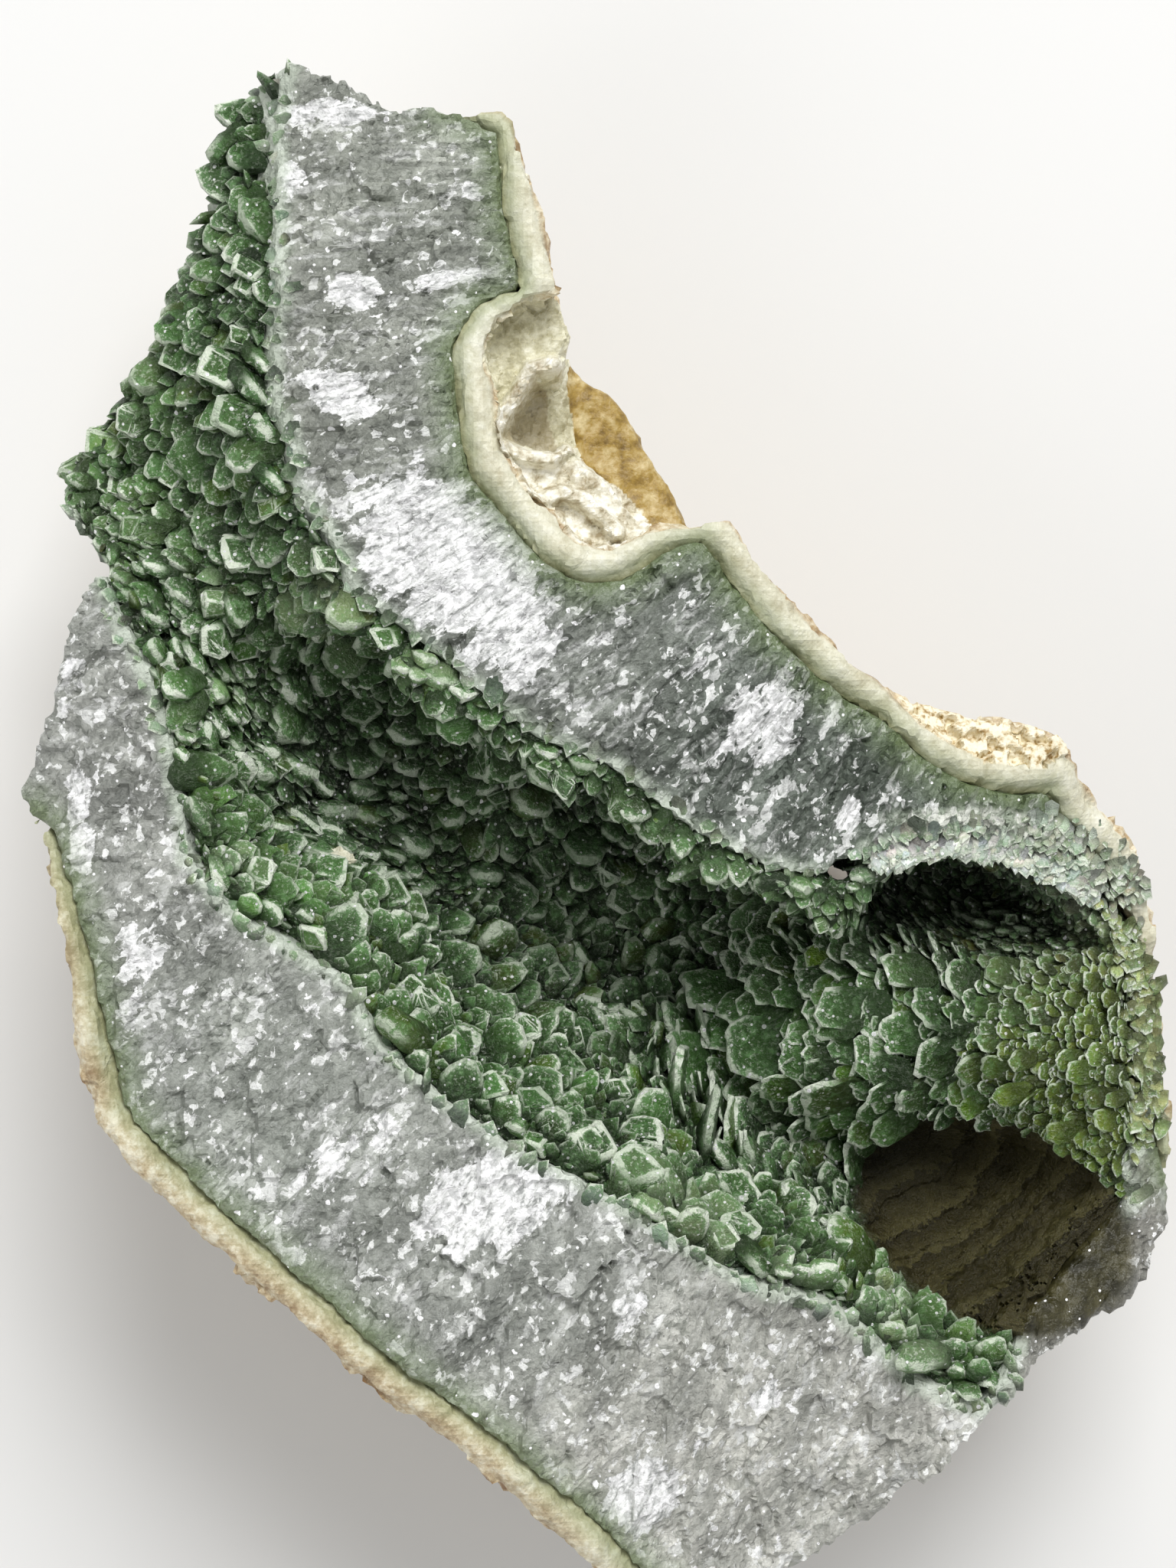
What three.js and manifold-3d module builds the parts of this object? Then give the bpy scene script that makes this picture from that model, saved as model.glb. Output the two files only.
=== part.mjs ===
// A broken piece of a quartz geode, lying on its outside with its hollow up.
// Millimetres, +Z up. The origin is under the middle of the stone, on the surface that it rests on.
import * as THREE from "three";
import { mergeVertices } from "three/addons/utils/BufferGeometryUtils.js";
import { ConvexHull } from "three/addons/math/ConvexHull.js";
import { ImprovedNoise } from "three/addons/math/ImprovedNoise.js";
import Module from "manifold-3d";

// Driving dimensions
const FACE_HEIGHT = 38; // usual height of the broken face
const FOOT_SHARE = 0.34; // size of the worn flat that it rests on, as a share of the outline
const STONE_MIDDLE = [-3, -6]; // the outside tapers towards the point under here
const RIND = 2.8; // usual thickness of the outer layer
const NO_RIND = -1.5; // where the quartz breaks off outside the rind
const RIND_FULL_FROM = 0.45; // share of the way down where the rind is whole all round
const CRUST = 1.6; // crystal crust, below its crystals
const GAP = 0.3; // clearance between the layers
const ABOVE = 70; // cutters end up here, above the stone
const OUTER_STEPS = 4; // rings from the foot up to the rim
const ROUNDING = 14; // how much rounder the outline is down at the foot
const ROUND_FROM = 0.3; // share of the way down where it starts to round off

// The outline of the broken face from above, clockwise from the top: x, y, thickness of the rind there
const OUTLINE = [
  [-26, 65, NO_RIND],
  [-21, 62.5, NO_RIND],
  [-17, 60.4, NO_RIND],
  [-7.4, 59.5, 1.6],
  [-6.2, 56, 2],
  [-5, 51.9, RIND],
  [-3.6, 46.9, RIND],
  [-2.6, 43.6, 4],
  [-1.2, 41, 4],
  [1.4, 40.2, 3.4],
  [4.4, 35, 3.4],
  [7.4, 30.4, 3.4],
  [8.4, 26, 3.4],
  [10.4, 26.2, 2.6],
  [13, 22.7, RIND],
  [16.4, 18.6, RIND],
  [20.9, 14.6, RIND],
  [25.6, 11.9, RIND],
  [31, 10.2, RIND],
  [37.9, 9.4, 3.4],
  [40.4, 4.4, 3.4],
  [45, -0.8, 3.4],
  [46.3, -6, RIND],
  [46.9, -12, 2.4],
  [46.6, -18, 2.4],
  [47.6, -25, 1],
  [47.2, -32, NO_RIND],
  [45.3, -37, NO_RIND],
  [36, -43.3, NO_RIND],
  [32.2, -47, NO_RIND],
  [22, -56.4, NO_RIND],
  [9.6, -65, NO_RIND],
  [4.2, -63, 2],
  [-1, -58.4, RIND],
  [-8.6, -51.2, RIND],
  [-17, -44.9, RIND],
  [-26, -37.4, RIND],
  [-35.2, -29.4, RIND],
  [-41, -22.8, RIND],
  [-42.4, -16, 2.4],
  [-43.6, -8, 1.8],
  [-46.2, 0.8, 1.2],
  [-47.7, 4, NO_RIND],
  [-45.7, 8, NO_RIND],
  [-43, 19, NO_RIND],
  [-40.8, 22.9, NO_RIND],
  [-44.6, 28, NO_RIND],
  [-44.6, 32.4, NO_RIND],
  [-36.4, 43.6, NO_RIND],
  [-34.6, 49, NO_RIND],
  [-32, 56, NO_RIND],
  [-30, 62.4, NO_RIND],
];

// Swells and dips of the broken face: x, y, radius, height
const FACE_SWELLS = [
  [-27, 63, 13, -5],
  [-50, 36, 16, -13],
  [-39, 58, 12, -6],
  [4, 22, 20, 3],
  [46, -8, 16, -8],
  [47, -36, 13, -8],
  [20, -58, 16, -6],
  [-47, 4, 10, -6],
  [-6, -40, 22, 3],
];

// The hollow is a chain of rounded chambers. at is the middle of one, rim its outline where the broken
// face cuts it, widest its outline at its middle, and lean how far its floor lies off to the side.
const CHAMBERS = [
  // The neck
  {
    at: [-48, 38, 55],
    depth: 32,
    lean: [0, 0],
    kind: "close",
    rim: [
      [-19, 78],
      [-30, 96],
      [-56, 84],
      [-68, 58],
      [-70, 36],
      [-60, 24],
      [-50, 22.5],
      [-40.5, 21.5],
      [-36, 13],
      [-28, 6],
      [-18, 14],
      [-20, 22],
      [-23.2, 28],
      [-24.5, 36],
      [-24, 48],
    ],
  },
  // The throat
  {
    at: [-19, 4, 38],
    depth: 21,
    lean: [4, 3],
    rim: [
      [0, 0],
      [-5, 8.8],
      [-11.2, 14.2],
      [-18.7, 19.4],
      [-28, 24],
      [-38, 18],
      [-35.6, 8.8],
      [-33.7, -1.2],
      [-28.7, -6.2],
      [-20, -11.2],
      [-17.5, -16.2],
      [-12.5, -20.6],
      [-8, -23],
      [-2, -12],
    ],
  },
  // The main chamber
  {
    at: [3, -13, 38],
    depth: 25,
    lean: [4, 8],
    rim: [
      [24, -14],
      [19.4, -3.3],
      [13.7, -1.8],
      [7.5, 1.3],
      [1.2, 6.3],
      [-5, 8.8],
      [-12, 10],
      [-20, 0],
      [-21, -10],
      [-17.5, -16.2],
      [-12.5, -20.6],
      [-7.5, -24.3],
      [-1.2, -27.4],
      [5, -31.2],
      [11.2, -34.9],
      [18.7, -37.4],
      [26, -30],
    ],
  },
  // The lower end
  {
    at: [21, -29, 38],
    depth: 22,
    lean: [1, 6],
    rim: [
      [38, -28],
      [34, -16],
      [20, -12],
      [6, -18],
      [2, -28],
      [5, -31.2],
      [11.2, -34.9],
      [18.7, -37.4],
      [22.5, -41.2],
      [26.2, -44.9],
      [32, -48],
      [35, -42],
    ],
  },
  // The room round the lobe
  {
    at: [34, -14, 36],
    depth: 21,
    lean: [0, 3],
    kind: "small",
    rim: [
      [45.4, -12],
      [44.8, -6.4],
      [38.7, -1.9],
      [31.2, 0.9],
      [26, 1],
      [21.3, -1],
      [16, -8],
      [16, -20],
      [24, -31],
      [40, -31],
      [45.4, -26],
      [45.4, -19],
    ],
  },
  // The undercut behind the bridge
  {
    at: [31, -4, 23],
    depth: 9,
    lean: [0, 0],
    rise: 9,
    kind: "small",
    widest: [
      [40.5, -5],
      [38.5, 0.2],
      [32, 3.6],
      [24, 4.2],
      [16, 0],
      [20, -8],
      [38, -10],
    ],
  },
  // The cave
  {
    at: [34, -31.5, 34],
    depth: 17,
    lean: [-2, 4],
    bare: true,
    rim: [
      [45, -30],
      [40, -23],
      [30, -23],
      [22, -27],
      [23.5, -34],
      [30, -40.5],
      [34, -40],
      [39.5, -35.8],
    ],
  },
];

const CHAMBER_LEVELS = [-70, -48, -25, 0, 40]; // where its walls have corners, in degrees up from its middle
const LOBE_SIDES = 11; // corners of a smooth lobe round its middle
const LOBE_LEVELS = 6; // and its levels from top to bottom

// The lobe that grows out of the right wall into the hollow, towards its tip on the left
const LOBES = [
  { at: [42, -16.4, 19], radii: [18, 8.2, 11], turn: -4 },
  { at: [26, -15.6, 18.5], radii: [12.2, 7, 10], turn: 4 },
  { at: [43.5, -24, 18], radii: [6, 5, 9.5], turn: -25 },
];

// The pocket: the rind folds in round a dent of the outside, and its inside is broken open to the right
const POCKET_OUTER = [
  [2, 46],
  [-2.6, 44.3],
  [-6, 45],
  [-9.6, 43.8],
  [-11.8, 40.4],
  [-11.4, 35],
  [-10.4, 29.8],
  [-7.4, 26.2],
  [-4.6, 22.8],
  [-1.4, 21],
  [2, 21.2],
  [5.6, 23.6],
  [11, 25.4],
  [16, 34],
];
const POCKET_INNER = [
  [-1.6, 44.8],
  [-6, 44.2],
  [-8.6, 42],
  [-9.4, 39.4],
  [-8.2, 36.8],
  [-8, 32.8],
  [-5.6, 28.6],
  [-3.6, 27],
  [-2, 24.7],
  [-0.2, 23.7],
  [2, 24.2],
  [5.4, 25.6],
  [14, 30],
  [8, 46],
];
const POCKET_BOTTOM = 14; // where the folded rind closes under the pocket
const POCKET_FLOOR = 34.5; // its granular floor
const DENT = [
  [-7.9, 33.2],
  [-5.4, 37.9],
  [-2.3, 38.2],
  [-1.9, 31.4],
];
const DENT_FLOOR = 29; // the dark dent in this floor
// The broken plate of outer rind, below the open side of the pocket
const PLATE = [
  [-2.9, 38.6],
  [-3, 36],
  [-2.4, 33.4],
  [-1.2, 31],
  [0.8, 29.8],
  [2.7, 26.6],
  [5.2, 25.5],
  [8.4, 25.5],
  [16, 30],
  [8, 46],
  [-2.6, 41],
];
const PLATE_TOP = 27;

// The porous patch: the rind is wide here, and worn down in a shallow recess
const PATCH_OUTER = [
  [16.6, 20],
  [17.6, 16],
  [21.4, 11.6],
  [26, 7.2],
  [30, 4.8],
  [34.4, 3.9],
  [38.4, 4.6],
  [44, 8],
  [40, 16],
  [24, 22],
];
const PATCH_BOTTOM = 27;
const PATCH_RECESS = [
  [19.4, 18],
  [23, 12.6],
  [27.4, 8.6],
  [31.4, 6.6],
  [36.4, 6.3],
  [42, 9],
  [38, 16],
  [24, 20],
];
const PATCH_FLOOR = 35.4;

// A gap in the bottom of the hollow, through which the surface below shows
const PEEPHOLE = { at: [20.3, -2.6], radius: 1.7, sides: 8 };
const PEEPHOLE_EDGE = 0.4; // how far the crust reaches into it

// Crystals: how far apart they are, how tall, and how far a tip is off its middle
const CRYSTALS = {
  large: { spacing: 7.2, height: -2.7, lean: 2.6 },
  close: { spacing: 5, height: -2.4, lean: 2 },
  small: { spacing: 6.4, height: -1.2, lean: 1.6 },
  scale: { spacing: 5.4, height: 1.8, lean: 2 },
};
const CRYSTAL_HEIGHTS = [0.6, 1.4]; // the lowest and the tallest, as a share of the usual height
const CELL_AREA = Math.sqrt(3) / 2; // room of a crystal in an even spread, for a spacing of 1
const UNEVEN = 1.2; // how far crystals are off an even spread
const ROUGHNESS = 0.9; // height of the bumps of the broken face
const GRAIN = 6.5; // their size, and the size of its facets
const FACETS = [18, 24]; // facets of the broken face, across and along
const FACET_SHIFT = 0.4; // how far their corners are off an even grid, as a share of a facet
const LUMPS = 1.2; // how far the outside swells and dips
const LUMP_SIZE = 11; // over this distance
const NOISE_GAIN = 1.6; // brings the noise to about -1 to 1

const wasm = await Module();
wasm.setup();

// The same numbers on every build
function makeRandom(seed) {
  let state = seed;
  return () => {
    state = (state * 1664525 + 1013904223) % 4294967296;
    return state / 4294967296;
  };
}

function toSolid(geometry) {
  const bare = geometry.clone();
  for (const name of Object.keys(bare.attributes)) {
    if (name !== "position") bare.deleteAttribute(name);
  }
  const merged = mergeVertices(bare, 1e-4);
  return new wasm.Manifold(
    new wasm.Mesh({
      numProp: 3,
      vertProperties: new Float32Array(merged.attributes.position.array),
      triVerts: new Uint32Array(merged.index.array),
    }),
  );
}

function toGeometry(solid) {
  const mesh = solid.getMesh();
  const positions = new Float32Array(mesh.numVert * 3);
  for (let i = 0; i < mesh.numVert; i++) {
    positions.set(mesh.vertProperties.subarray(i * mesh.numProp, i * mesh.numProp + 3), i * 3);
  }
  const geometry = new THREE.BufferGeometry();
  geometry.setAttribute("position", new THREE.BufferAttribute(positions, 3));
  geometry.setIndex(new THREE.BufferAttribute(mesh.triVerts, 1));
  return geometry;
}

const unite = (solids) => solids.reduce((all, one) => all.add(one));
const largest = (solid) => solid.decompose().sort((a, b) => b.volume() - a.volume())[0];
const middle = new THREE.Vector2(...STONE_MIDDLE);

// 0 to 1 between two values, level at both ends
function smooth(from, to, x) {
  const share = THREE.MathUtils.clamp((x - from) / (to - from), 0, 1);
  return share * share * (3 - 2 * share);
}

// Height of the broken face
function faceHeight(x, y) {
  return FACE_SWELLS.reduce(
    (z, [sx, sy, radius, height]) =>
      z + height * Math.exp(-((x - sx) ** 2 + (y - sy) ** 2) / (radius * radius)),
    FACE_HEIGHT,
  );
}

const noise = new ImprovedNoise();

// Uneven heights from about -1 to 1 that change over a distance
const uneven = (x, y, z, over) => NOISE_GAIN * noise.noise(x / over + 5.3, y / over + 2.7, z / over + 8.1);

// A closed body from rings of points, all of one length, from a bottom point to a top point
function ringSolid(bottom, rings, top) {
  const count = rings[0].length;
  const points = [bottom, ...rings.flat(), top];
  const last = points.length - 1;
  const at = (ring, i) => 1 + ring * count + (i % count);
  const index = [];
  for (let i = 0; i < count; i++) {
    index.push(0, at(0, i), at(0, i + 1));
    index.push(last, at(rings.length - 1, i + 1), at(rings.length - 1, i));
  }
  for (let ring = 0; ring + 1 < rings.length; ring++) {
    for (let i = 0; i < count; i++) {
      const [a, b, c, d] = [at(ring, i), at(ring, i + 1), at(ring + 1, i + 1), at(ring + 1, i)];
      index.push(a, c, b, a, d, c);
    }
  }
  const geometry = new THREE.BufferGeometry().setFromPoints(points);
  geometry.setIndex(index);
  return toSolid(geometry);
}

// The outline with its corners rounded off a number of times
function rounded(times) {
  let now = OUTLINE.map(([x, y]) => new THREE.Vector2(x, y));
  for (let time = 0; time < times; time++) {
    now = now.map((point, i) => {
      const before = now[(i + now.length - 1) % now.length];
      const after = now[(i + 1) % now.length];
      return point.clone().multiplyScalar(2).add(before).add(after).multiplyScalar(0.25);
    });
  }
  return now;
}

const rim = rounded(0);
const foot = rounded(ROUNDING);

// Outward direction of the outline at each of its points, seen from above
const outward = rounded(2).map((_, i, points) => {
  const before = points[(i + points.length - 1) % points.length];
  const after = points[(i + 1) % points.length];
  return new THREE.Vector2(before.y - after.y, after.x - before.x).normalize();
});

// One ring of the outside, moved in by inset(i, down). Its angle is 90 degrees at the foot and 0 at the rim.
function outsideRing(angle, inset) {
  const down = Math.sin(angle);
  const share = FOOT_SHARE + (1 - FOOT_SHARE) * Math.cos(angle);
  return rim.map((point, i) => {
    const top = faceHeight(point.x, point.y);
    const z = top * (1 - down);
    const flat = point.clone().lerp(foot[i], smooth(ROUND_FROM, 1, down));
    const swell = LUMPS * uneven(flat.x, flat.y, z, LUMP_SIZE) * Math.sin(2 * angle) - inset(i, down);
    flat.sub(middle).multiplyScalar(share).add(middle);
    flat.addScaledVector(outward[i], swell * Math.cos(angle));
    return new THREE.Vector3(flat.x, flat.y, z - Math.min(swell, 0) * down);
  });
}

function outsideRings(inset) {
  const rings = [];
  for (let step = 0; step <= OUTER_STEPS; step++) {
    rings.push(outsideRing(((1 - step / OUTER_STEPS) * Math.PI) / 2, inset));
  }
  return rings;
}

// The stone from its foot up to a level above its face, all round moved in by inset(i, down)
function bowl(inset, floor) {
  const rings = outsideRings(inset);
  const above = rings.at(-1).map((point) => new THREE.Vector3(point.x, point.y, ABOVE));
  return ringSolid(
    new THREE.Vector3(...STONE_MIDDLE, floor),
    [...rings, above],
    new THREE.Vector3(...STONE_MIDDLE, ABOVE),
  );
}

// All that lies under the rough broken face
function underFace() {
  const deep = 2 * FACE_HEIGHT;
  const geometry = new THREE.BoxGeometry(FACETS[0] * GRAIN, FACETS[1] * GRAIN, deep, ...FACETS, 1);
  const positions = geometry.attributes.position;
  for (let i = 0; i < positions.count; i++) {
    if (positions.getZ(i) < 0) continue;
    const [x, y] = [positions.getX(i), positions.getY(i)];
    const dx = FACET_SHIFT * GRAIN * uneven(x, y, 20, GRAIN / 2);
    const dy = FACET_SHIFT * GRAIN * uneven(x, y, 40, GRAIN / 2);
    const rough = ROUGHNESS * uneven(x, y, 0, GRAIN);
    positions.setXYZ(i, x + dx, y + dy, faceHeight(x + dx, y + dy) + rough);
  }
  return toSolid(geometry);
}

// The whole stone before it was hollow
const wholeStone = () => bowl(() => 0, 0).intersect(underFace());

// What lies inside the rind, grown by a clearance
function insideRind(grown) {
  const inset = (i, down) =>
    THREE.MathUtils.lerp(OUTLINE[i][2], RIND, smooth(0, RIND_FULL_FROM, down)) - grown;
  return bowl(inset, RIND - grown);
}

// Where a ray from the middle of an outline crosses it
function reach(points, x, y, direction) {
  for (let i = 0; i < points.length; i++) {
    const [ax, ay] = points[i];
    const [bx, by] = points[(i + 1) % points.length];
    const [ex, ey] = [bx - ax, by - ay];
    const cross = direction.x * ey - direction.y * ex;
    const far = ((ax - x) * ey - (ay - y) * ex) / cross;
    const along = ((ax - x) * direction.y - (ay - y) * direction.x) / cross;
    if (far > 0 && along > -1e-9 && along < 1 + 1e-9) return far;
  }
  return 0;
}

// The point of a chamber, in a direction from its middle, with its walls moved in
function chamberPoint(form, moved, unit) {
  const [x, y, z] = form.at;
  const flat = new THREE.Vector2(unit.x, unit.y);
  const share = Math.max(flat.length(), 1e-6);
  flat.divideScalar(share);
  const level = form.widest ? 1 : Math.sqrt(1 - ((z - FACE_HEIGHT) / form.depth) ** 2);
  const wide = reach(form.widest ?? form.rim, x, y, flat) / level - moved;
  const deep = unit.z < 0 ? form.depth - moved : (form.rise ?? form.depth) - moved;
  const down = Math.max(-unit.z, 0);
  return new THREE.Vector3(
    x + flat.x * wide * share + form.lean[0] * down,
    y + flat.y * wide * share + form.lean[1] * down,
    z + deep * unit.z,
  );
}

// The point of a lobe in a direction from its middle, with its sides moved out
function lobePoint(form, moved, unit) {
  const [a, b, c] = form.radii;
  const point = unit.clone().multiply(new THREE.Vector3(a + moved, b + moved, c + moved));
  point.applyAxisAngle(new THREE.Vector3(0, 0, 1), THREE.MathUtils.degToRad(form.turn));
  return point.add(new THREE.Vector3(...form.at));
}

// A chamber with smooth walls
function chamber(form, moved) {
  const [x, y] = form.at;
  const around = (form.widest ?? form.rim)
    .map(([px, py]) => new THREE.Vector2(px - x, py - y).normalize())
    .reverse();
  const level = (degrees) => {
    const up = THREE.MathUtils.degToRad(degrees);
    const share = Math.cos(up);
    return around.map((flat) =>
      chamberPoint(form, moved, new THREE.Vector3(flat.x * share, flat.y * share, Math.sin(up))),
    );
  };
  return ringSolid(
    chamberPoint(form, moved, new THREE.Vector3(0, 0, -1)),
    CHAMBER_LEVELS.map(level),
    chamberPoint(form, moved, new THREE.Vector3(0, 0, 1)),
  );
}

// A lobe with smooth sides
function lobe(form, moved) {
  const geometry = new THREE.SphereGeometry(1, LOBE_SIDES, LOBE_LEVELS);
  const positions = geometry.attributes.position;
  for (let i = 0; i < positions.count; i++) {
    const point = lobePoint(form, moved, new THREE.Vector3().fromBufferAttribute(positions, i));
    positions.setXYZ(i, point.x, point.y, point.z);
  }
  return toSolid(geometry);
}

const hollow = (moved) =>
  unite(CHAMBERS.map((form) => chamber(form, moved))).subtract(unite(LOBES.map((form) => lobe(form, moved))));

// A block with an outline seen from above, between two heights
function block(points, from, to) {
  const shape = new THREE.Shape(points.map(([x, y]) => new THREE.Vector2(x, y)));
  const geometry = new THREE.ExtrudeGeometry(shape, { depth: to - from, bevelEnabled: false });
  geometry.translate(0, 0, from);
  return toSolid(geometry);
}

// An outline moved out by a distance
function grow(points, distance) {
  const turnsLeft = THREE.ShapeUtils.area(points.map(([x, y]) => ({ x, y }))) > 0;
  const side = turnsLeft ? 1 : -1;
  return points.map(([x, y], i) => {
    const before = points[(i + points.length - 1) % points.length];
    const after = points[(i + 1) % points.length];
    const out = new THREE.Vector2(after[1] - before[1], before[0] - after[0])
      .normalize()
      .multiplyScalar(side * distance);
    return [x + out.x, y + out.y];
  });
}

// The gap in the bottom of the hollow, moved in by a distance
function peephole(inset) {
  const radius = PEEPHOLE.radius - inset;
  const geometry = new THREE.CylinderGeometry(radius, radius, 2 * FACE_HEIGHT, PEEPHOLE.sides);
  geometry.rotateX(Math.PI / 2);
  geometry.translate(...PEEPHOLE.at, 0);
  return toSolid(geometry);
}

function makeRind(stone) {
  const fold = block(grow(POCKET_OUTER, -GAP), POCKET_BOTTOM, ABOVE);
  const wide = block(grow(PATCH_OUTER, -GAP), PATCH_BOTTOM, ABOVE);
  const shell = stone.subtract(insideRind(GAP)).subtract(insideRind(0)).add(fold.add(wide).intersect(stone));
  const worn = [
    block(POCKET_INNER, POCKET_FLOOR, ABOVE),
    block(DENT, DENT_FLOOR, ABOVE),
    block(PLATE, PLATE_TOP, ABOVE),
    block(PATCH_RECESS, PATCH_FLOOR, ABOVE),
    ...CHAMBERS.map((form) => chamber(form, 0)),
    peephole(0),
  ];
  return largest(shell.subtract(unite(worn)));
}

function makeWall(stone) {
  const taken = [
    hollow(0),
    block(POCKET_OUTER, POCKET_BOTTOM - GAP, ABOVE),
    block(PATCH_OUTER, PATCH_BOTTOM - GAP, ABOVE),
    peephole(0),
  ];
  return largest(stone.intersect(insideRind(0)).subtract(unite(taken)));
}

// Points spread evenly over a unit sphere, a little off their places
function spread(count, random) {
  const golden = Math.PI * (3 - Math.sqrt(5));
  const off = UNEVEN / Math.sqrt(count);
  return Array.from({ length: count }, (_, i) => {
    const z = 1 - (2 * i + 1) / count;
    const ring = Math.sqrt(1 - z * z);
    const point = new THREE.Vector3(ring * Math.cos(golden * i), ring * Math.sin(golden * i), z);
    point.x += off * (random() - 0.5);
    point.y += off * (random() - 0.5);
    point.z += off * (random() - 0.5);
    return point.normalize();
  });
}

// A rounded body covered with pointed crystals side by side. height is negative where they point inwards.
function crystalBody(place, area, kind, random) {
  const middles = spread(Math.round(area / (CELL_AREA * kind.spacing ** 2)), random);
  const hull = new ConvexHull().setFromPoints(middles);
  const middleIndex = new Map(middles.map((point, i) => [point, i]));
  const inside = place(new THREE.Vector3(0, 0, 1)).lerp(place(new THREE.Vector3(0, 0, -1)), 0.5);
  const tips = middles.map((unit) => {
    const height = kind.height * THREE.MathUtils.lerp(...CRYSTAL_HEIGHTS, random());
    const lean = new THREE.Vector3(random() - 0.5, random() - 0.5, random() - 0.5);
    const tip = place(unit);
    const out = tip.clone().sub(inside).normalize();
    return tip.addScaledVector(out, height).addScaledVector(lean, kind.lean);
  });
  const corners = [];
  const cornerIndex = new Map();
  hull.faces.forEach((face) => {
    cornerIndex.set(face, middles.length + corners.length);
    corners.push(place(face.midpoint.clone().normalize()));
  });
  const index = [];
  hull.faces.forEach((face) => {
    let edge = face.edge;
    do {
      const middleOf = middleIndex.get(edge.head().point);
      index.push(middleOf, cornerIndex.get(face), cornerIndex.get(edge.twin.face));
      edge = edge.next;
    } while (edge !== face.edge);
  });
  const geometry = new THREE.BufferGeometry().setFromPoints([...tips, ...corners]);
  geometry.setIndex(index);
  return toSolid(geometry);
}

function makeCrust(stone) {
  const random = makeRandom(5);
  const inset = GAP + CRUST;
  const open = CHAMBERS.map((form) => {
    const smoothed = chamber(form, inset);
    if (form.bare) return smoothed;
    const kind = CRYSTALS[form.kind ?? "large"];
    return crystalBody((unit) => chamberPoint(form, inset, unit), smoothed.surfaceArea(), kind, random);
  });
  const lobes = LOBES.map((form) => {
    const area = lobe(form, inset).surfaceArea();
    return crystalBody((unit) => lobePoint(form, inset, unit), area, CRYSTALS.scale, random);
  });
  return largest(
    hollow(GAP)
      .subtract(unite(open).subtract(unite(lobes)))
      .intersect(stone)
      .subtract(peephole(PEEPHOLE_EDGE)),
  );
}

const looks = {
  quartz_wall: { color: 0xa8aaa5, roughness: 0.35, metalness: 0 },
  rind: { color: 0xc9bf9b, roughness: 0.6, metalness: 0 },
  crystal_crust: { color: 0x3f6438, roughness: 0.25, metalness: 0 },
};

const stone = wholeStone();
const solids = {
  quartz_wall: makeWall(stone),
  rind: makeRind(stone),
  crystal_crust: makeCrust(stone),
};

const geode = new THREE.Group();
for (const [name, solid] of Object.entries(solids)) {
  const mesh = new THREE.Mesh(toGeometry(solid), new THREE.MeshStandardMaterial(looks[name]));
  mesh.name = name;
  geode.add(mesh);
}

// The origin goes exactly under the middle of the whole stone
const bounds = new THREE.Box3().setFromObject(geode);
const centre = bounds.getCenter(new THREE.Vector3());
geode.children.forEach((mesh) => mesh.geometry.translate(-centre.x, -centre.y, -bounds.min.z));

export default geode;
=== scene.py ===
"""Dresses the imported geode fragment: broken quartz, its rind, and the green crystals in the hollow.

Lengths are millimetres in the row's frame until a mesh is made, and metres from there on.
"""

import itertools
import math

import bmesh
import bpy
import numpy as np
from mathutils import Matrix, Vector, noise
from mathutils.bvhtree import BVHTree


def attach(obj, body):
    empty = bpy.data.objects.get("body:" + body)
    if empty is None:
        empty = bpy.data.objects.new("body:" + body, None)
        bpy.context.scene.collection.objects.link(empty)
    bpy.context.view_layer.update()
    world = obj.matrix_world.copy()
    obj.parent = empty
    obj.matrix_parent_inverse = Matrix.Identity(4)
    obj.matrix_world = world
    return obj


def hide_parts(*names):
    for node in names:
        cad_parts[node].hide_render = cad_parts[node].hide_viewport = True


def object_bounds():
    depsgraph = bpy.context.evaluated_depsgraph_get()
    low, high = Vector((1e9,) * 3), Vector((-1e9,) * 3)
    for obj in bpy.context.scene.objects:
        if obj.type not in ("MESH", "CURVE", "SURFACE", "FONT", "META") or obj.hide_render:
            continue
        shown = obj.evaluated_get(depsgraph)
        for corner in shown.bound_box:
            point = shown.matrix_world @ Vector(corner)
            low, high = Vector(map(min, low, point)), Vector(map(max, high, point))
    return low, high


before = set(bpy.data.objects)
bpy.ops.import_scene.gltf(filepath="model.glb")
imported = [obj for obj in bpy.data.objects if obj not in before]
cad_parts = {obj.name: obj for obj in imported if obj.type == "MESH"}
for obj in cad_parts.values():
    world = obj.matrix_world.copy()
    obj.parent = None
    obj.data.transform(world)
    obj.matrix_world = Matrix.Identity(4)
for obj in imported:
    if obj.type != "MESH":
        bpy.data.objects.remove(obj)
CAD_BOX = [list(corner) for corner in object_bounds()]

MM = 0.001
BOX_LOW = np.array(CAD_BOX[0]) / MM
BOX_HIGH = np.array(CAD_BOX[1]) / MM
rng = np.random.default_rng(7)

# Where the camera stood, its lens and its sensor, and how far the floor reaches from the middle in metres
CAMERA_AT = (-0.75, 4.8, 336.0)
LENS = 84.4
SENSOR = 36.0
FLOOR_REACH = 2.0

# The quartz fibres of the wall run towards and away from this point. At this distance their width is true
FIBRE_CENTRE = (52.0, 60.0)
FIBRE_REACH = 92.0

# The voxels that each layer is meshed anew with
WALL_VOXEL = 0.75
RIND_VOXEL = 0.8
CRUST_VOXEL = 1.0

# How far a layer is pushed into its neighbour to close the clearance between them
CLOSE_UP = 0.5

# No distance is measured further than this
FAR = 9.0

# Over these heights the forms of the surface grow out of the flat foot
WORN = (0.1, 1.5)

# A crumb of rind on the crystals: x, y, radius
CRUMB = (-21.6, -1.6, 1.25)

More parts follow.
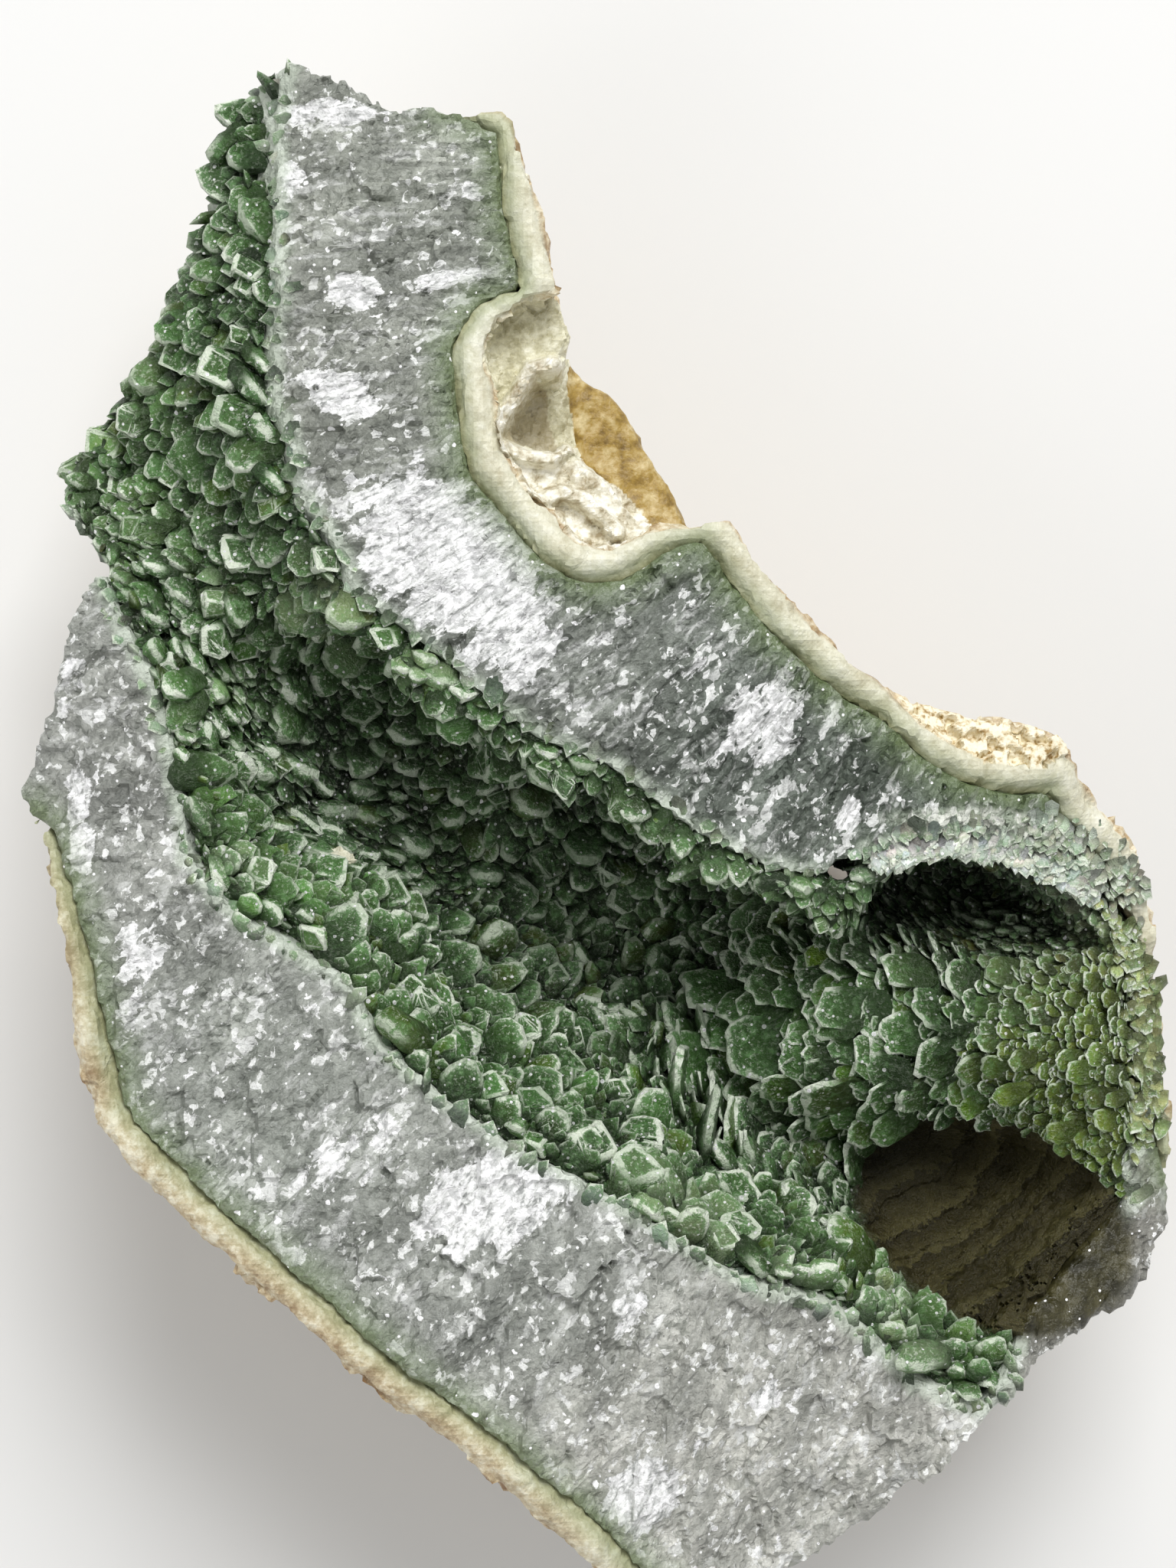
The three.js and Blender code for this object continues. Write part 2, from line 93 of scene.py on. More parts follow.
# Lines of tiny crystals on edges: points, half width, colour, how many
BRIDGE_EDGE = [
    (22.6, -1.6), (24.4, -0.9), (27.0, -0.4), (30.6, -0.3), (34.0, -0.9), (37.8, -2.3), (41.3, -4.6),
]
SEAM = [(42.6, -6.0), (44.6, -10.0), (45.4, -14.0), (45.6, -20.0), (45.2, -25.0)]
EDGE_LINES = [
    (BRIDGE_EDGE, 0.7, (0.93, 0.96, 0.9), 560),
    ([(x, y + 1.4) for x, y in BRIDGE_EDGE], 0.5, (0.5, 0.54, 0.46), 120),
    ([(36.0, 1.2), (39.0, 0.4), (42.5, -2.6), (44.0, -5.0)], 2.2, (0.55, 0.6, 0.48), 160),
    (SEAM, 1.3, (0.34, 0.38, 0.16), 360),
]

# How far the small crystals at the border reach onto the wall
BORDER_REACH = 1.1

# The bare brown cave at the lower right: x, y, radii, turn in degrees
CAVE = (33.2, -31.8, 11.5, 8.2, -22)

# The small hole runs along the camera's view: a place in it, its radius, and its width for its height
HOLE_AT = (19.55, -2.45, 38.0)
HOLE_RADIUS = 0.95
HOLE_WIDTH = 0.6

# White, straight down, and the steps from a cell to itself and its neighbours
WHITE = (1.0, 1.0, 1.0)
DOWN = Vector((0, 0, -1))
AROUND = list(itertools.product((-1, 0, 1), repeat=3))

# White bruises of the broken face: x, y, radii, turn in degrees, strength
BRUISES = [
    (-11.5, 22.8, 11.0, 6.6, -38, 1.0),
    (-7.0, 18.0, 5.5, 3.6, -50, 0.8),
    (-21.1, 36.4, 3.6, 2.4, -30, 0.9),
    (-19.6, 44.9, 2.8, 1.7, -15, 0.85),
    (13.2, 10.0, 4.4, 3.2, 60, 0.8),
    (20.5, 2.5, 2.2, 1.6, 30, 0.6),
    (-8.4, -28.5, 8.0, 4.2, 22, 1.0),
    (4.0, -53.3, 4.0, 3.0, 40, 0.85),
    (-21.7, 60.0, 4.2, 1.4, -5, 0.8),
    (-10.1, 52.8, 1.2, 1.1, 0, 0.7),
    (-25.2, 54.7, 1.3, 2.0, 0, 0.7),
    (-12.7, 45.7, 3.4, 1.0, 10, 0.6),
    (-6.3, 13.2, 2.0, 2.0, 0, 0.5),
    (7.1, 14.5, 2.6, 1.6, 0, 0.55),
    (-20.2, -26.0, 6.5, 3.4, 35, 0.5),
    (-37.0, -10.0, 2.2, 6.0, -8, 0.5),
    (-43.0, 14.0, 1.6, 4.5, -15, 0.6),
    (-42.5, 1.0, 1.6, 6.0, 5, 0.6),
    (-27.0, -34.0, 5.0, 1.4, 15, 0.6),
    (2.0, -38.0, 3.0, 1.6, 40, 0.5),
    (14.0, -45.0, 4.0, 1.6, 30, 0.5),
]

# How bright the broken face is round each place: x, y, and the factors of red, green and blue
TONES = [
    (-15.0, 54.0, 1.5, 1.54, 1.44),
    (-20.0, 40.0, 1.15, 1.18, 1.1),
    (-4.0, 14.0, 0.95, 1.0, 0.94),
    (13.0, 7.0, 0.56, 0.64, 0.57),
    (26.0, 4.0, 0.52, 0.62, 0.52),
    (-40.0, 2.0, 1.35, 1.36, 1.33),
    (-26.0, -22.0, 1.35, 1.4, 1.34),
    (-6.0, -34.0, 1.35, 1.38, 1.34),
    (6.0, -50.0, 2.4, 2.35, 2.3),
    (34.0, -50.0, 2.2, 2.15, 2.1),
    (40.0, -37.0, 1.2, 1.15, 1.1),
]

# Frosted green-white stretches of the broken face, under and beside the bridge: x, y, radii, turn in degrees
FROSTED = [
    (41.0, -1.8, 5.6, 4.2, -35),
    (32.5, 1.4, 9.0, 1.3, -4),
    (45.5, -10.0, 2.4, 6.0, 0),
    (-46.0, 27.0, 5.0, 9.0, -20),
]

# Outlines on the rind, seen from above
POCKET = [
    (-1.6, 44.8), (-6, 44.2), (-8.6, 42), (-9.4, 39.4), (-8.2, 36.8), (-8, 32.8), (-5.6, 28.6), (-3.6, 27),
    (-2, 24.7), (-0.2, 23.7), (2, 24.2), (5.4, 25.6), (2, 29.6), (-1.4, 31.4), (-2.6, 38.4), (-1.6, 43),
]
RIDGES = [
    ((-8.4, 33.6), (-6.6, 36.6), (-5.4, 38.8), (-3.6, 39.2)),
    ((-8.0, 32.4), (-5.6, 31.6), (-3.8, 31.4), (-2.6, 32.4)),
    ((-4.6, 28.0), (-3.0, 28.6), (-1.4, 28.2), (0.6, 26.6), (1.6, 25.4)),
]
# The pit in the pocket, which is painted dark brown as shade
PIT = [(-8.3, 33.2), (-5.6, 38.0), (-4.2, 37.6), (-4.0, 34.6), (-3.0, 32.0)]
HONEY = [
    (-2.6, 41), (-3, 36), (-2.4, 33.4), (-1.2, 31), (0.8, 29.8), (2.7, 26.6), (5.2, 25.5), (9, 25.5),
    (16, 30), (8, 46),
]
SPONGE = [(19.4, 18), (23, 12.6), (27.4, 8.6), (31.4, 6.6), (36.4, 6.3), (42, 9), (41, 16), (26, 21)]

# The colours of the crystals
GREEN = (0.034, 0.09, 0.014)
LIGHT_GREEN = (0.08, 0.175, 0.04)
OLIVE = (0.112, 0.16, 0.013)
GREY_GREEN = (0.028, 0.057, 0.019)
# Painted shadow: the dark green of the crystals deep under the bridge
SHADOW_GREEN = (0.016, 0.025, 0.009)
YELLOW_GREEN = (0.26, 0.32, 0.11)
FROST = (0.42, 0.47, 0.38)
SHEER = (0.2, 0.27, 0.13)
PALE_GREEN = (0.22, 0.31, 0.15)

# Crystals that are paler than the others: x, y and reach
PALE = [
    (-22.4, 19.3, 3.4),
    (-13.7, 14.4, 2.4),
    (-29.8, 13.1, 1.6),
    (-31.5, 21.5, 1.8),
    (-35.3, 9.0, 2.2),
    (-34.6, 3.5, 2.4),
    (-30.0, -2.0, 2.2),
    (4.3, -29.1, 2.6),
    (8.5, -31.2, 2.6),
    (16.0, -35.5, 2.8),
    (23.8, -39.0, 3.0),
    (26.2, -43.0, 2.6),
    (-25.0, 44.0, 1.6),
]

# How the crystals are round one place: x, y, z, where their tips point in x and y, their lift in degrees,
# their width, colour, frost and flatness
REGIONS = [
    (-29, 60, 34, -0.8, 0.1, 45, 3.2, GREEN, 0.9, 0.75),
    (-33, 46, 30, -0.9, -0.3, 45, 3.6, GREEN, 0.9, 0.75),
    (-38, 32, 25, -0.9, -0.4, 40, 3.0, LIGHT_GREEN, 0.9, 0.75),
    (-44, 27, 18, -0.9, -0.4, 25, 1.5, SHEER, 0.5, 0.75),
    (-43, 33, 20, -0.9, 0.2, 25, 1.5, SHEER, 0.5, 0.75),
    (-28, 32, 32, -0.8, -0.6, 48, 4.1, GREEN, 1.0, 0.75),
    (-25, 18, 30, -0.6, -0.8, 48, 4.1, GREEN, 1.0, 0.75),
    (-36, 14, 28, -0.7, -0.5, 50, 3.4, GREEN, 0.8, 0.75),
    (-22, 4, 22, -0.3, -0.9, 55, 3.7, GREY_GREEN, 0.6, 0.75),
    (-10, 10, 33, -0.2, -0.9, 45, 3.1, GREEN, 0.85, 0.75),
    (-2, 0, 26, -0.15, -1.0, 50, 3.2, GREY_GREEN, 0.5, 0.75),
    (8, 2, 33, -0.2, -1.0, 45, 2.4, LIGHT_GREEN, 0.85, 0.75),
    (20, -4, 34, -0.3, -0.9, 40, 2.2, LIGHT_GREEN, 0.8, 0.75),
    (31, 1, 37, -0.2, -0.9, 45, 1.0, FROST, 1.0, 0.75),
    (36, 0, 37, -0.2, -0.9, 45, 1.0, FROST, 1.0, 0.75),
    (42, -4, 37, -0.5, -0.9, 45, 0.9, FROST, 1.0, 0.75),
    (25, 1, 36, -0.2, -0.9, 45, 1.1, FROST, 1.0, 0.75),
    # Crystals deep under the bridge, painted dark as shadow
    (34, -1, 29, -0.2, -0.9, 45, 1.5, SHADOW_GREEN, 0.1, 0.75),
    (28, 2, 24, -0.2, -0.9, 45, 1.5, SHADOW_GREEN, 0.1, 0.75),
    (38, -4, 26, -0.2, -0.9, 45, 1.3, SHADOW_GREEN, 0.15, 0.75),
    (-34, -2, 34, 0.8, 0.5, 50, 3.3, LIGHT_GREEN, 0.9, 0.75),
    (-24, -10, 32, 0.6, 0.75, 48, 4.1, LIGHT_GREEN, 1.0, 0.75),
    (-12, -19, 32, 0.55, 0.8, 48, 4.2, GREEN, 1.0, 0.75),
    (0, -26, 32, 0.5, 0.85, 48, 4.2, GREEN, 1.0, 0.75),
    (12, -34, 32, 0.5, 0.85, 48, 3.9, GREEN, 1.0, 0.75),
    (26, -43, 33, 0.3, 0.9, 48, 3.4, LIGHT_GREEN, 0.95, 0.75),
    (-8, -10, 18, 0.3, 0.3, 72, 3.6, GREY_GREEN, 0.5, 0.75),
    (6, -16, 17, 0.1, 0.3, 72, 3.6, GREY_GREEN, 0.5, 0.75),
    (16, -28, 20, 0.2, 0.6, 60, 3.0, GREY_GREEN, 0.6, 0.75),
    (12, -15, 24, -1.0, -0.1, 18, 5.2, GREEN, 1.0, 0.3),
    (13, -20, 24, -1.0, -0.2, 18, 4.8, GREEN, 1.0, 0.3),
    (19, -14, 30, -1.0, -0.05, 15, 5.0, GREEN, 1.0, 0.28),
    (25, -17, 32, -1.0, -0.1, 15, 3.2, GREEN, 0.95, 0.3),
    (30, -14, 33, -1.0, 0.1, 16, 2.4, GREEN, 0.85, 0.3),
    (35, -18, 33, -1.0, -0.1, 18, 1.6, OLIVE, 0.8, 0.35),
    (41, -14, 32, -1.0, 0.2, 20, 1.1, OLIVE, 0.7, 0.4),
    (46, -9, 33, -1.0, 0.2, 25, 0.9, YELLOW_GREEN, 0.9, 0.5),
    (46.5, -17, 33, -1.0, 0.0, 25, 0.9, YELLOW_GREEN, 0.8, 0.5),
    (40, -22, 31, -1.0, -0.1, 18, 1.2, OLIVE, 0.6, 0.4),
    (30, -23, 27, -0.9, -0.4, 18, 1.9, GREEN, 0.75, 0.35),
    (22, -23, 24, -1.0, -0.3, 18, 3.4, GREEN, 0.9, 0.3),
    (42, -27, 26, -0.4, -0.9, 18, 0.9, OLIVE, 0.3, 0.45),
    # Crystals low in the hollow below the bridge, painted dark as shadow
    (25, -7, 22, -1.0, 0.0, 30, 1.6, SHADOW_GREEN, 0.3, 0.5),
]

# Their columns in an array of values
TOWARD = slice(0, 2)
LIFT = 2
WIDTH = 3
TINT = slice(4, 7)
RIM = 7
FLAT = 8

# Below this flatness the crystals are thin scales, and the others are no flatter than this
SCALY = 0.5
THINNEST = 0.6

# No scale and no other crystal is wider than this
WIDEST = 5.8
WIDEST_BLOCK = 4.8

# How many places are tried for the large and the small crystals and for those on the wall's border
LARGE_TRIES = 60000
SMALL_TRIES = 45000
BORDER_TRIES = 9000

# How the crystals' directions and corners vary, and the angle from which an edge is sharp
SPREAD = 0.13
UNEVEN = 0.022
SHARP = math.radians(50)

# How dark the ground under the crystals is painted, as shade between them, and how frosted it is
GROUND_PAINTED_SHADE = 0.3
GROUND_FROST = 0.5

# Large crystals are left out where the lumps are lower than this, and this share of the others are tiles
BARE = -0.36
TILE_SHARE = 0.86

# The least upward slope of the ground under a scale, and how scales stand up more on ground that isn't level
SCALE_GROUND = 0.3
LEVEL = 0.8
STEEP_LIFT = 80

# The share of the dark crystals that are more olive than the others, their change of colour, and what is dark
SUNNY_SHARE = 0.12
SUNNY = (1.7, 1.35, 0.5)
SUNNY_LIMIT = 0.2

# The small crystals in the gaps between the large ones: their share of the colour, which paints shade on
# them, and of the frost
GAP_PAINTED_SHADE = 0.6
GAP_FROST = 0.45

# How far back along a crystal its root is tested, in lengths, and how far outside the stone it may be
ROOT = 0.45
ROOT_SLACK = 0.45


def main():
    """Builds every piece, then the stage, the lights and the camera."""
    stones = Stones()
    wall, border = make_wall(stones)
    rind = make_rind(stones)
    crust, skin = make_crust(stones)
    crystals = make_crystals(stones, skin, border)
    for piece, node, slot in (
        (wall, "quartz_wall", "quartz"),
        (rind, "rind", "chalcedony"),
        (crust, "crystal_crust", "crystals"),
    ):
        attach(piece, "root")
        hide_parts(node)
    for piece in crystals:
        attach(piece, "root")
    crumb = make_crumb(stones)
    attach(crumb, "root")
    make_stage()


# Meshes and the numbers in them


def numbers(items, key, width=3):
    """What each item of a mesh holds under that key, a row for each."""
    found = np.zeros(len(items) * width)
    items.foreach_get(key, found)
    return found.reshape(-1, width)


def vertex_data(mesh):
    """Place and normal of each vertex."""
    return numbers(mesh.vertices, "co"), numbers(mesh.vertex_normals, "vector")


def face_data(mesh):
    """Middle, normal and area of each face."""
    faces = mesh.polygons
    return numbers(faces, "center"), numbers(faces, "normal"), numbers(faces, "area", 1)[:, 0]


def set_places(mesh, places):
    """Moves the vertices of a mesh, inside the CAD model's box, and tells where they are then."""
    places = np.clip(places, BOX_LOW, BOX_HIGH)
    mesh.vertices.foreach_set("co", places.ravel())
    mesh.update()
    return places


def linked(name, data):
    """A new object in the scene."""
    made = bpy.data.objects.new(name, data)
    bpy.context.scene.collection.objects.link(made)
    return made


def new_piece(name, mesh, material):
    """A shown object from a mesh in millimetres."""
    mesh.transform(Matrix.Scale(MM, 4))
    mesh.name = name
    mesh.materials.clear()
    mesh.materials.append(material)
    return linked(name, mesh)


def add_values(mesh, **values):
    """A number or a colour at each vertex under each name, for the material."""
    for name, found in values.items():
        found = np.asarray(found, np.float32)
        kind, key = ("FLOAT", "value") if found.ndim == 1 else ("FLOAT_COLOR", "color")
        if found.ndim == 2:
            found = np.insert(found, 3, 1.0, axis=1)
        mesh.attributes.new(name, kind, "POINT").data.foreach_set(key, found.ravel())


def written(bm, mesh):
    """Writes an edited body to the mesh and returns the mesh."""
    bm.to_mesh(mesh)
    bm.free()
    mesh.update()
    return mesh


def unit(vectors):
    """The vectors at length 1."""
    vectors = np.asarray(vectors, float)
    return vectors / np.maximum(np.linalg.norm(vectors, axis=-1, keepdims=True), 1e-9)


def step(low, high, value):
    """0 below low, 1 above high, and smooth between them."""
    t = np.clip((np.asarray(value, float) - low) / (high - low), 0, 1)
    return t * t * (3 - 2 * t)


def lumps(places, size, octaves=3):
    """Smooth noise at each place, about -1 to 1, with lumps of that size."""
    return np.array([noise.fractal(Vector(p), 0.9, 2.1, octaves) for p in places / size])


def facets(places, size):
    """Broken facets: each cell is a plane that leans its own way, about -1 to 1."""
    heights = np.zeros(len(places))
    for i, p in enumerate(places / size):
        near = noise.voronoi(Vector(p))[1][0]
        heights[i] = (Vector(p) - near).dot(noise.cell_vector(near * 31.7))
    return heights


def fibre_places(places, stretch):
    """Places in which fibres lie along the second axis, squeezed along the fibres by stretch."""
    dx = places[:, 0] - FIBRE_CENTRE[0]
    dy = places[:, 1] - FIBRE_CENTRE[1]
    along = np.hypot(dx, dy)
    across = np.arctan2(dy, -dx) * FIBRE_REACH
    return np.column_stack([across, along * stretch, places[:, 2]])


def inside(places, outline):
    """True for each place that lies inside the outline, seen from above."""
    x, y = places[:, 0], places[:, 1]
    found = np.zeros(len(places), bool)
    for (x1, y1), (x2, y2) in zip(outline, outline[1:] + outline[:1]):
        crosses = (y1 > y) != (y2 > y)
        slope = (x2 - x1) / (y2 - y1) if y2 != y1 else 0.0
        found ^= crosses & (x < x1 + (y - y1) * slope)
    return found


def blob(places, x, y, rx, ry, turn):
    """How far out each place lies in an ellipse seen from above: 0 in its middle, 1 on its edge."""
    a = math.radians(turn)
    dx, dy = places[:, 0] - x, places[:, 1] - y
    along = dx * math.cos(a) + dy * math.sin(a)
    over = dy * math.cos(a) - dx * math.sin(a)
    return np.hypot(along / rx, over / ry)


def line_distance(places, points):
    """How far each place is from a line through the points, seen from above."""
    found = np.full(len(places), FAR)
    flat = places[:, :2]
    for start, end in zip(points, points[1:]):
        start, end = np.array(start), np.array(end)
        along = np.clip((flat - start) @ (end - start) / ((end - start) @ (end - start)), 0, 1)
        gap = np.linalg.norm(flat - start - along[:, None] * (end - start), axis=1)
        found = np.minimum(found, gap)
    return found


def hole_distance(places):
    """How far each place is from the middle of the small hole."""
    along = unit(np.array(HOLE_AT) - CAMERA_AT)
    away = places - CAMERA_AT
    return np.linalg.norm(away - (away @ along)[:, None] * along, axis=1)


def off_hole(places):
    """0 at the small hole, which stays as it is cut, and 1 away from it."""
    return step(0.9, 2.0, hole_distance(places))


def cave_share(places):
    """How much a place belongs to the bare brown cave."""
    low = step(36.8, 35.0, places[:, 2])
    return step(1.12, 0.95, blob(places, *CAVE)) * low


class Stones:
    """The three CAD nodes as search trees, to tell how far a place is from each."""

    def __init__(self):
        self.meshes = {}
        self.trees = {}
        for name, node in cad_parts.items():
            mesh = node.data.copy()
            mesh.transform(Matrix.Scale(1 / MM, 4))
            self.meshes[name] = mesh
            places = [Vector(p) for p in numbers(mesh.vertices, "co")]
            self.trees[name] = BVHTree.FromPolygons(places, [list(p.vertices) for p in mesh.polygons])

    def nearest(self, name, places):
        """For each place near that node: its number, the node's place and normal, the gap and the height."""
        for i, p in enumerate(map(Vector, places)):
            near, normal, _, gap = self.trees[name].find_nearest(p, FAR)
            if near is not None:
                yield i, near, normal, gap, (p - near).dot(normal)

    def distance(self, name, places):
        """How far each place is from that node."""
        found = np.full(len(places), FAR)
        for i, _, _, gap, _ in self.nearest(name, places):
            found[i] = gap
        return found

    def outside(self, places):
        """How far each place is outside the whole stone, less than 0 inside it."""
        found = np.full(len(places), FAR)
        for name in self.trees:
            for i, _, _, gap, height in self.nearest(name, places):
                found[i] = min(found[i], math.copysign(gap, height))
        return found

    def kept_off(self, name, places, clearance):
        """The places, moved out of that node where they are in it or nearer to it than the clearance."""
        moved = places.copy()
        for i, near, normal, _, height in self.nearest(name, places):
            if height < clearance:
                moved[i] = near + normal * clearance
        return moved

    def faces_node(self, name, places, normals, reach):
        """True for each place from which that node is within reach, straight out of the surface."""
        cast = self.trees[name].ray_cast
        return np.array([cast(Vector(p), Vector(n), reach)[0] is not None for p, n in zip(places, normals)])

    def open_faces(self, neighbours, middles, normals, slope, height):
        """True for each face that is high enough, looks up enough and has none of the neighbours over it."""
        high = np.flatnonzero((normals[:, 2] > slope) & (middles[:, 2] > height))
        covers = [self.faces_node(name, middles[high], normals[high], 1.2) for name in neighbours]
        found = np.zeros(len(middles), bool)
        found[high] = ~np.any(covers, axis=0)
        return found

    def against(self, places, normals):
        """True for each place of the crust that lies close against the wall or the rind, out of sight."""
        upward = unit(normals + (0, 0, 0.8))
        found = np.zeros(len(places), bool)
        steep = normals[:, 2] < 0.2
        for name in ("quartz_wall", "rind"):
            near = self.faces_node(name, places, normals, 0.9)
            found |= near & (steep | self.faces_node(name, places, upward, 1.6))
        return found


def remeshed(mesh, voxel):
    """One evenly meshed body from a closed mesh, with the small hole through it."""
    maker = linked("maker", mesh.copy())
    voxels = maker.modifiers.new("voxels", "REMESH")
    voxels.mode = "VOXEL"
    voxels.voxel_size = voxel
    bm = bmesh.new()
    bmesh.ops.create_cone(bm, cap_ends=True, segments=9, radius1=HOLE_RADIUS, radius2=HOLE_RADIUS, depth=120)
    bm.transform(Matrix.Diagonal((HOLE_WIDTH, 1, 1, 1)))
    along = (Vector(CAMERA_AT) - Vector(HOLE_AT)).normalized()
    bm.transform(Matrix.Translation(HOLE_AT) @ along.to_track_quat("Z", "Y").to_matrix().to_4x4())
    drill = linked("drill", written(bm, bpy.data.meshes.new("drill")))
    cut = maker.modifiers.new("hole", "BOOLEAN")
    cut.operation = "DIFFERENCE"
    cut.object = drill
    made = bpy.data.meshes.new_from_object(maker.evaluated_get(bpy.context.evaluated_depsgraph_get()))
    for helper in (maker, drill):
        bpy.data.meshes.remove(helper.data)
    return made


def smooth(mesh, rounds):
    """Evens out the steps of a remeshed body."""
    bm = bmesh.new()
    bm.from_mesh(mesh)
    axes = dict.fromkeys(("use_axis_x", "use_axis_y", "use_axis_z"), True)
    for _ in range(rounds):
        bmesh.ops.smooth_vert(bm, verts=bm.verts, factor=0.5, **axes)
    written(bm, mesh)


def refine(mesh, wanted):
    """Splits each face in four whose middle and normal are wanted."""
    chosen = wanted(*face_data(mesh)[:2])
    bm = bmesh.new()
    bm.from_mesh(mesh)
    bm.faces.ensure_lookup_table()
    edges = {e for i in np.flatnonzero(chosen) for e in bm.faces[i].edges}
    bmesh.ops.subdivide_edges(bm, edges=list(edges), cuts=1, use_grid_fill=True)
    bmesh.ops.triangulate(bm, faces=[f for f in bm.faces if len(f.verts) > 4])
    written(bm, mesh)


# Materials


class Shader:
    """A material, with short ways to add nodes to it."""

    def __init__(self, name):
        self.material = bpy.data.materials.new(name)
        self.material.use_nodes = True
        self.tree = self.material.node_tree

    def node(self, kind, inputs, **settings):
        """A node of that kind. An input is a number, a colour or another node's output."""
        made = self.tree.nodes.new("ShaderNode" + kind)
        for key, value in settings.items():
            setattr(made, key, value)
        for key, value in inputs.items():
            self.put(made.inputs[key], value)
        return made

    def put(self, socket, value):
        """Links or sets an input."""
        if isinstance(value, bpy.types.NodeSocket):
            self.tree.links.new(value, socket)
        elif isinstance(value, tuple) and socket.type == "RGBA":
            socket.default_value = (*value, 1)
        else:
            socket.default_value = value

    def math(self, operation, *inputs):
        """What that operation makes of the numbers."""
        return self.node("Math", dict(enumerate(inputs)), operation=operation).outputs[0]

    def times(self, a, b):
        """a times b."""
        return self.math("MULTIPLY", a, b)

    def total(self, *parts, plus=0.0):
        """The sum of the parts, each a value and how much it counts."""
        for value, share in reversed(parts):
            plus = self.math("MULTIPLY_ADD", value, share, plus)
        return plus

    def vector(self, operation, *inputs):
        """What that operation makes of the vectors."""
        made = self.node("VectorMath", dict(enumerate(inputs)), operation=operation)
        return made.outputs["Value" if operation in ("DOT_PRODUCT", "LENGTH") else "Vector"]

    def millimetres(self):
        """The place on the stone, in millimetres."""
        return self.vector("MULTIPLY", self.node("TexCoord", {}).outputs["Object"], (1 / MM,) * 3)

    def noise(self, places, size, detail=2.0, rough=0.55):
        """Noise from 0 to 1 with lumps of that size."""
        inputs = {"Vector": places, "Scale": 1 / size, "Detail": detail, "Roughness": rough}
        return self.node("TexNoise", inputs).outputs["Fac"]

    def fibres(self, places, stretch):
        """The places with the fibres along the second axis, as fibre_places has them."""
        away = self.vector("SUBTRACT", places, (*FIBRE_CENTRE, 0.0))
        parts = self.node("SeparateXYZ", {0: away}).outputs
        flat = self.node("CombineXYZ", {0: parts[0], 1: parts[1]}).outputs[0]
        along = self.times(self.vector("LENGTH", flat), stretch)
        turned = self.math("ARCTAN2", parts[1], self.times(parts[0], -1.0))
        return self.node("CombineXYZ", {0: self.times(turned, FIBRE_REACH), 1: along, 2: parts[2]}).outputs[0]

    def cells(self, places, size):
        """The outputs of cells of that size."""
        return self.node("TexVoronoi", {"Vector": places, "Scale": 1 / size}).outputs

    def chance(self, cells, channel):
        """A number from 0 to 1 for each cell."""
        return self.node("SeparateColor", {0: cells["Color"]}).outputs[channel]

    def facets(self, places, size):
        """Planes that lean their own way in each cell, about -0.5 to 0.5."""
        cells = self.cells(places, size)
        lean = self.vector("SUBTRACT", cells["Color"], (0.5, 0.5, 0.5))
        offset = self.vector("SUBTRACT", places, cells["Position"])
        return self.math("DIVIDE", self.vector("DOT_PRODUCT", offset, lean), size)

    def chips(self, places, size):
        """A number from 0 to 1 for each cell, with hard borders."""
        return self.chance(self.cells(places, size), 1)

    def specks(self, places, size, share, radius):
        """1 in small dots: one in each cell of that size, in that share of the cells."""
        cells = self.cells(places, size)
        near = self.math("LESS_THAN", cells["Distance"], radius / size)
        return self.times(near, self.math("LESS_THAN", self.chance(cells, 0), share))

    def ramp(self, value, *stops):
        """A colour for the value. A stop is a value and its colour."""
        made = self.node("ValToRGB", {0: value})
        points = made.color_ramp.elements
        while len(points) < len(stops):
            points.new(0.5)
        for point, (place, *colour) in zip(points, stops):
            point.position = place
            point.color = (*colour, 1)
        return made.outputs[0]

    def mix(self, share, a, b, blend="MIX"):
        """Colour a with that share of colour b."""
        made = self.node("Mix", {"Factor": share}, data_type="RGBA", blend_type=blend)
        self.put(made.inputs[6], a)
        self.put(made.inputs[7], b)
        return made.outputs[2]

    def step(self, value, low, high):
        """0 at low and 1 at high."""
        inputs = {0: value, 1: low, 2: high, 3: 0.0, 4: 1.0}
        return self.node("MapRange", inputs, interpolation_type="SMOOTHSTEP").outputs[0]

    def layered(self, under, *layers):
        """A colour under layers, each a colour, its share, and a value with its start and its end."""
        for colour, share, value, low, high in layers:
            under = self.mix(self.times(self.step(value, low, high), share), under, colour)
        return under

    def attribute(self, name, output="Fac"):
        """What was stored at the vertices under that name."""
        return self.node("Attribute", {}, attribute_name=name).outputs[output]

    def bump(self, height, depth, under=None):
        """A normal from heights that are depth millimetres high."""
        inputs = {"Height": height, "Distance": depth * MM, "Strength": 1.0}
        if under is not None:
            inputs["Normal"] = under
        return self.node("Bump", inputs).outputs[0]

    def finish(self, inputs):
        """Sets the inputs of the surface shader and returns the material."""
        for key, value in inputs.items():
            self.put(self.tree.nodes["Principled BSDF"].inputs[key], value)
        return self.material


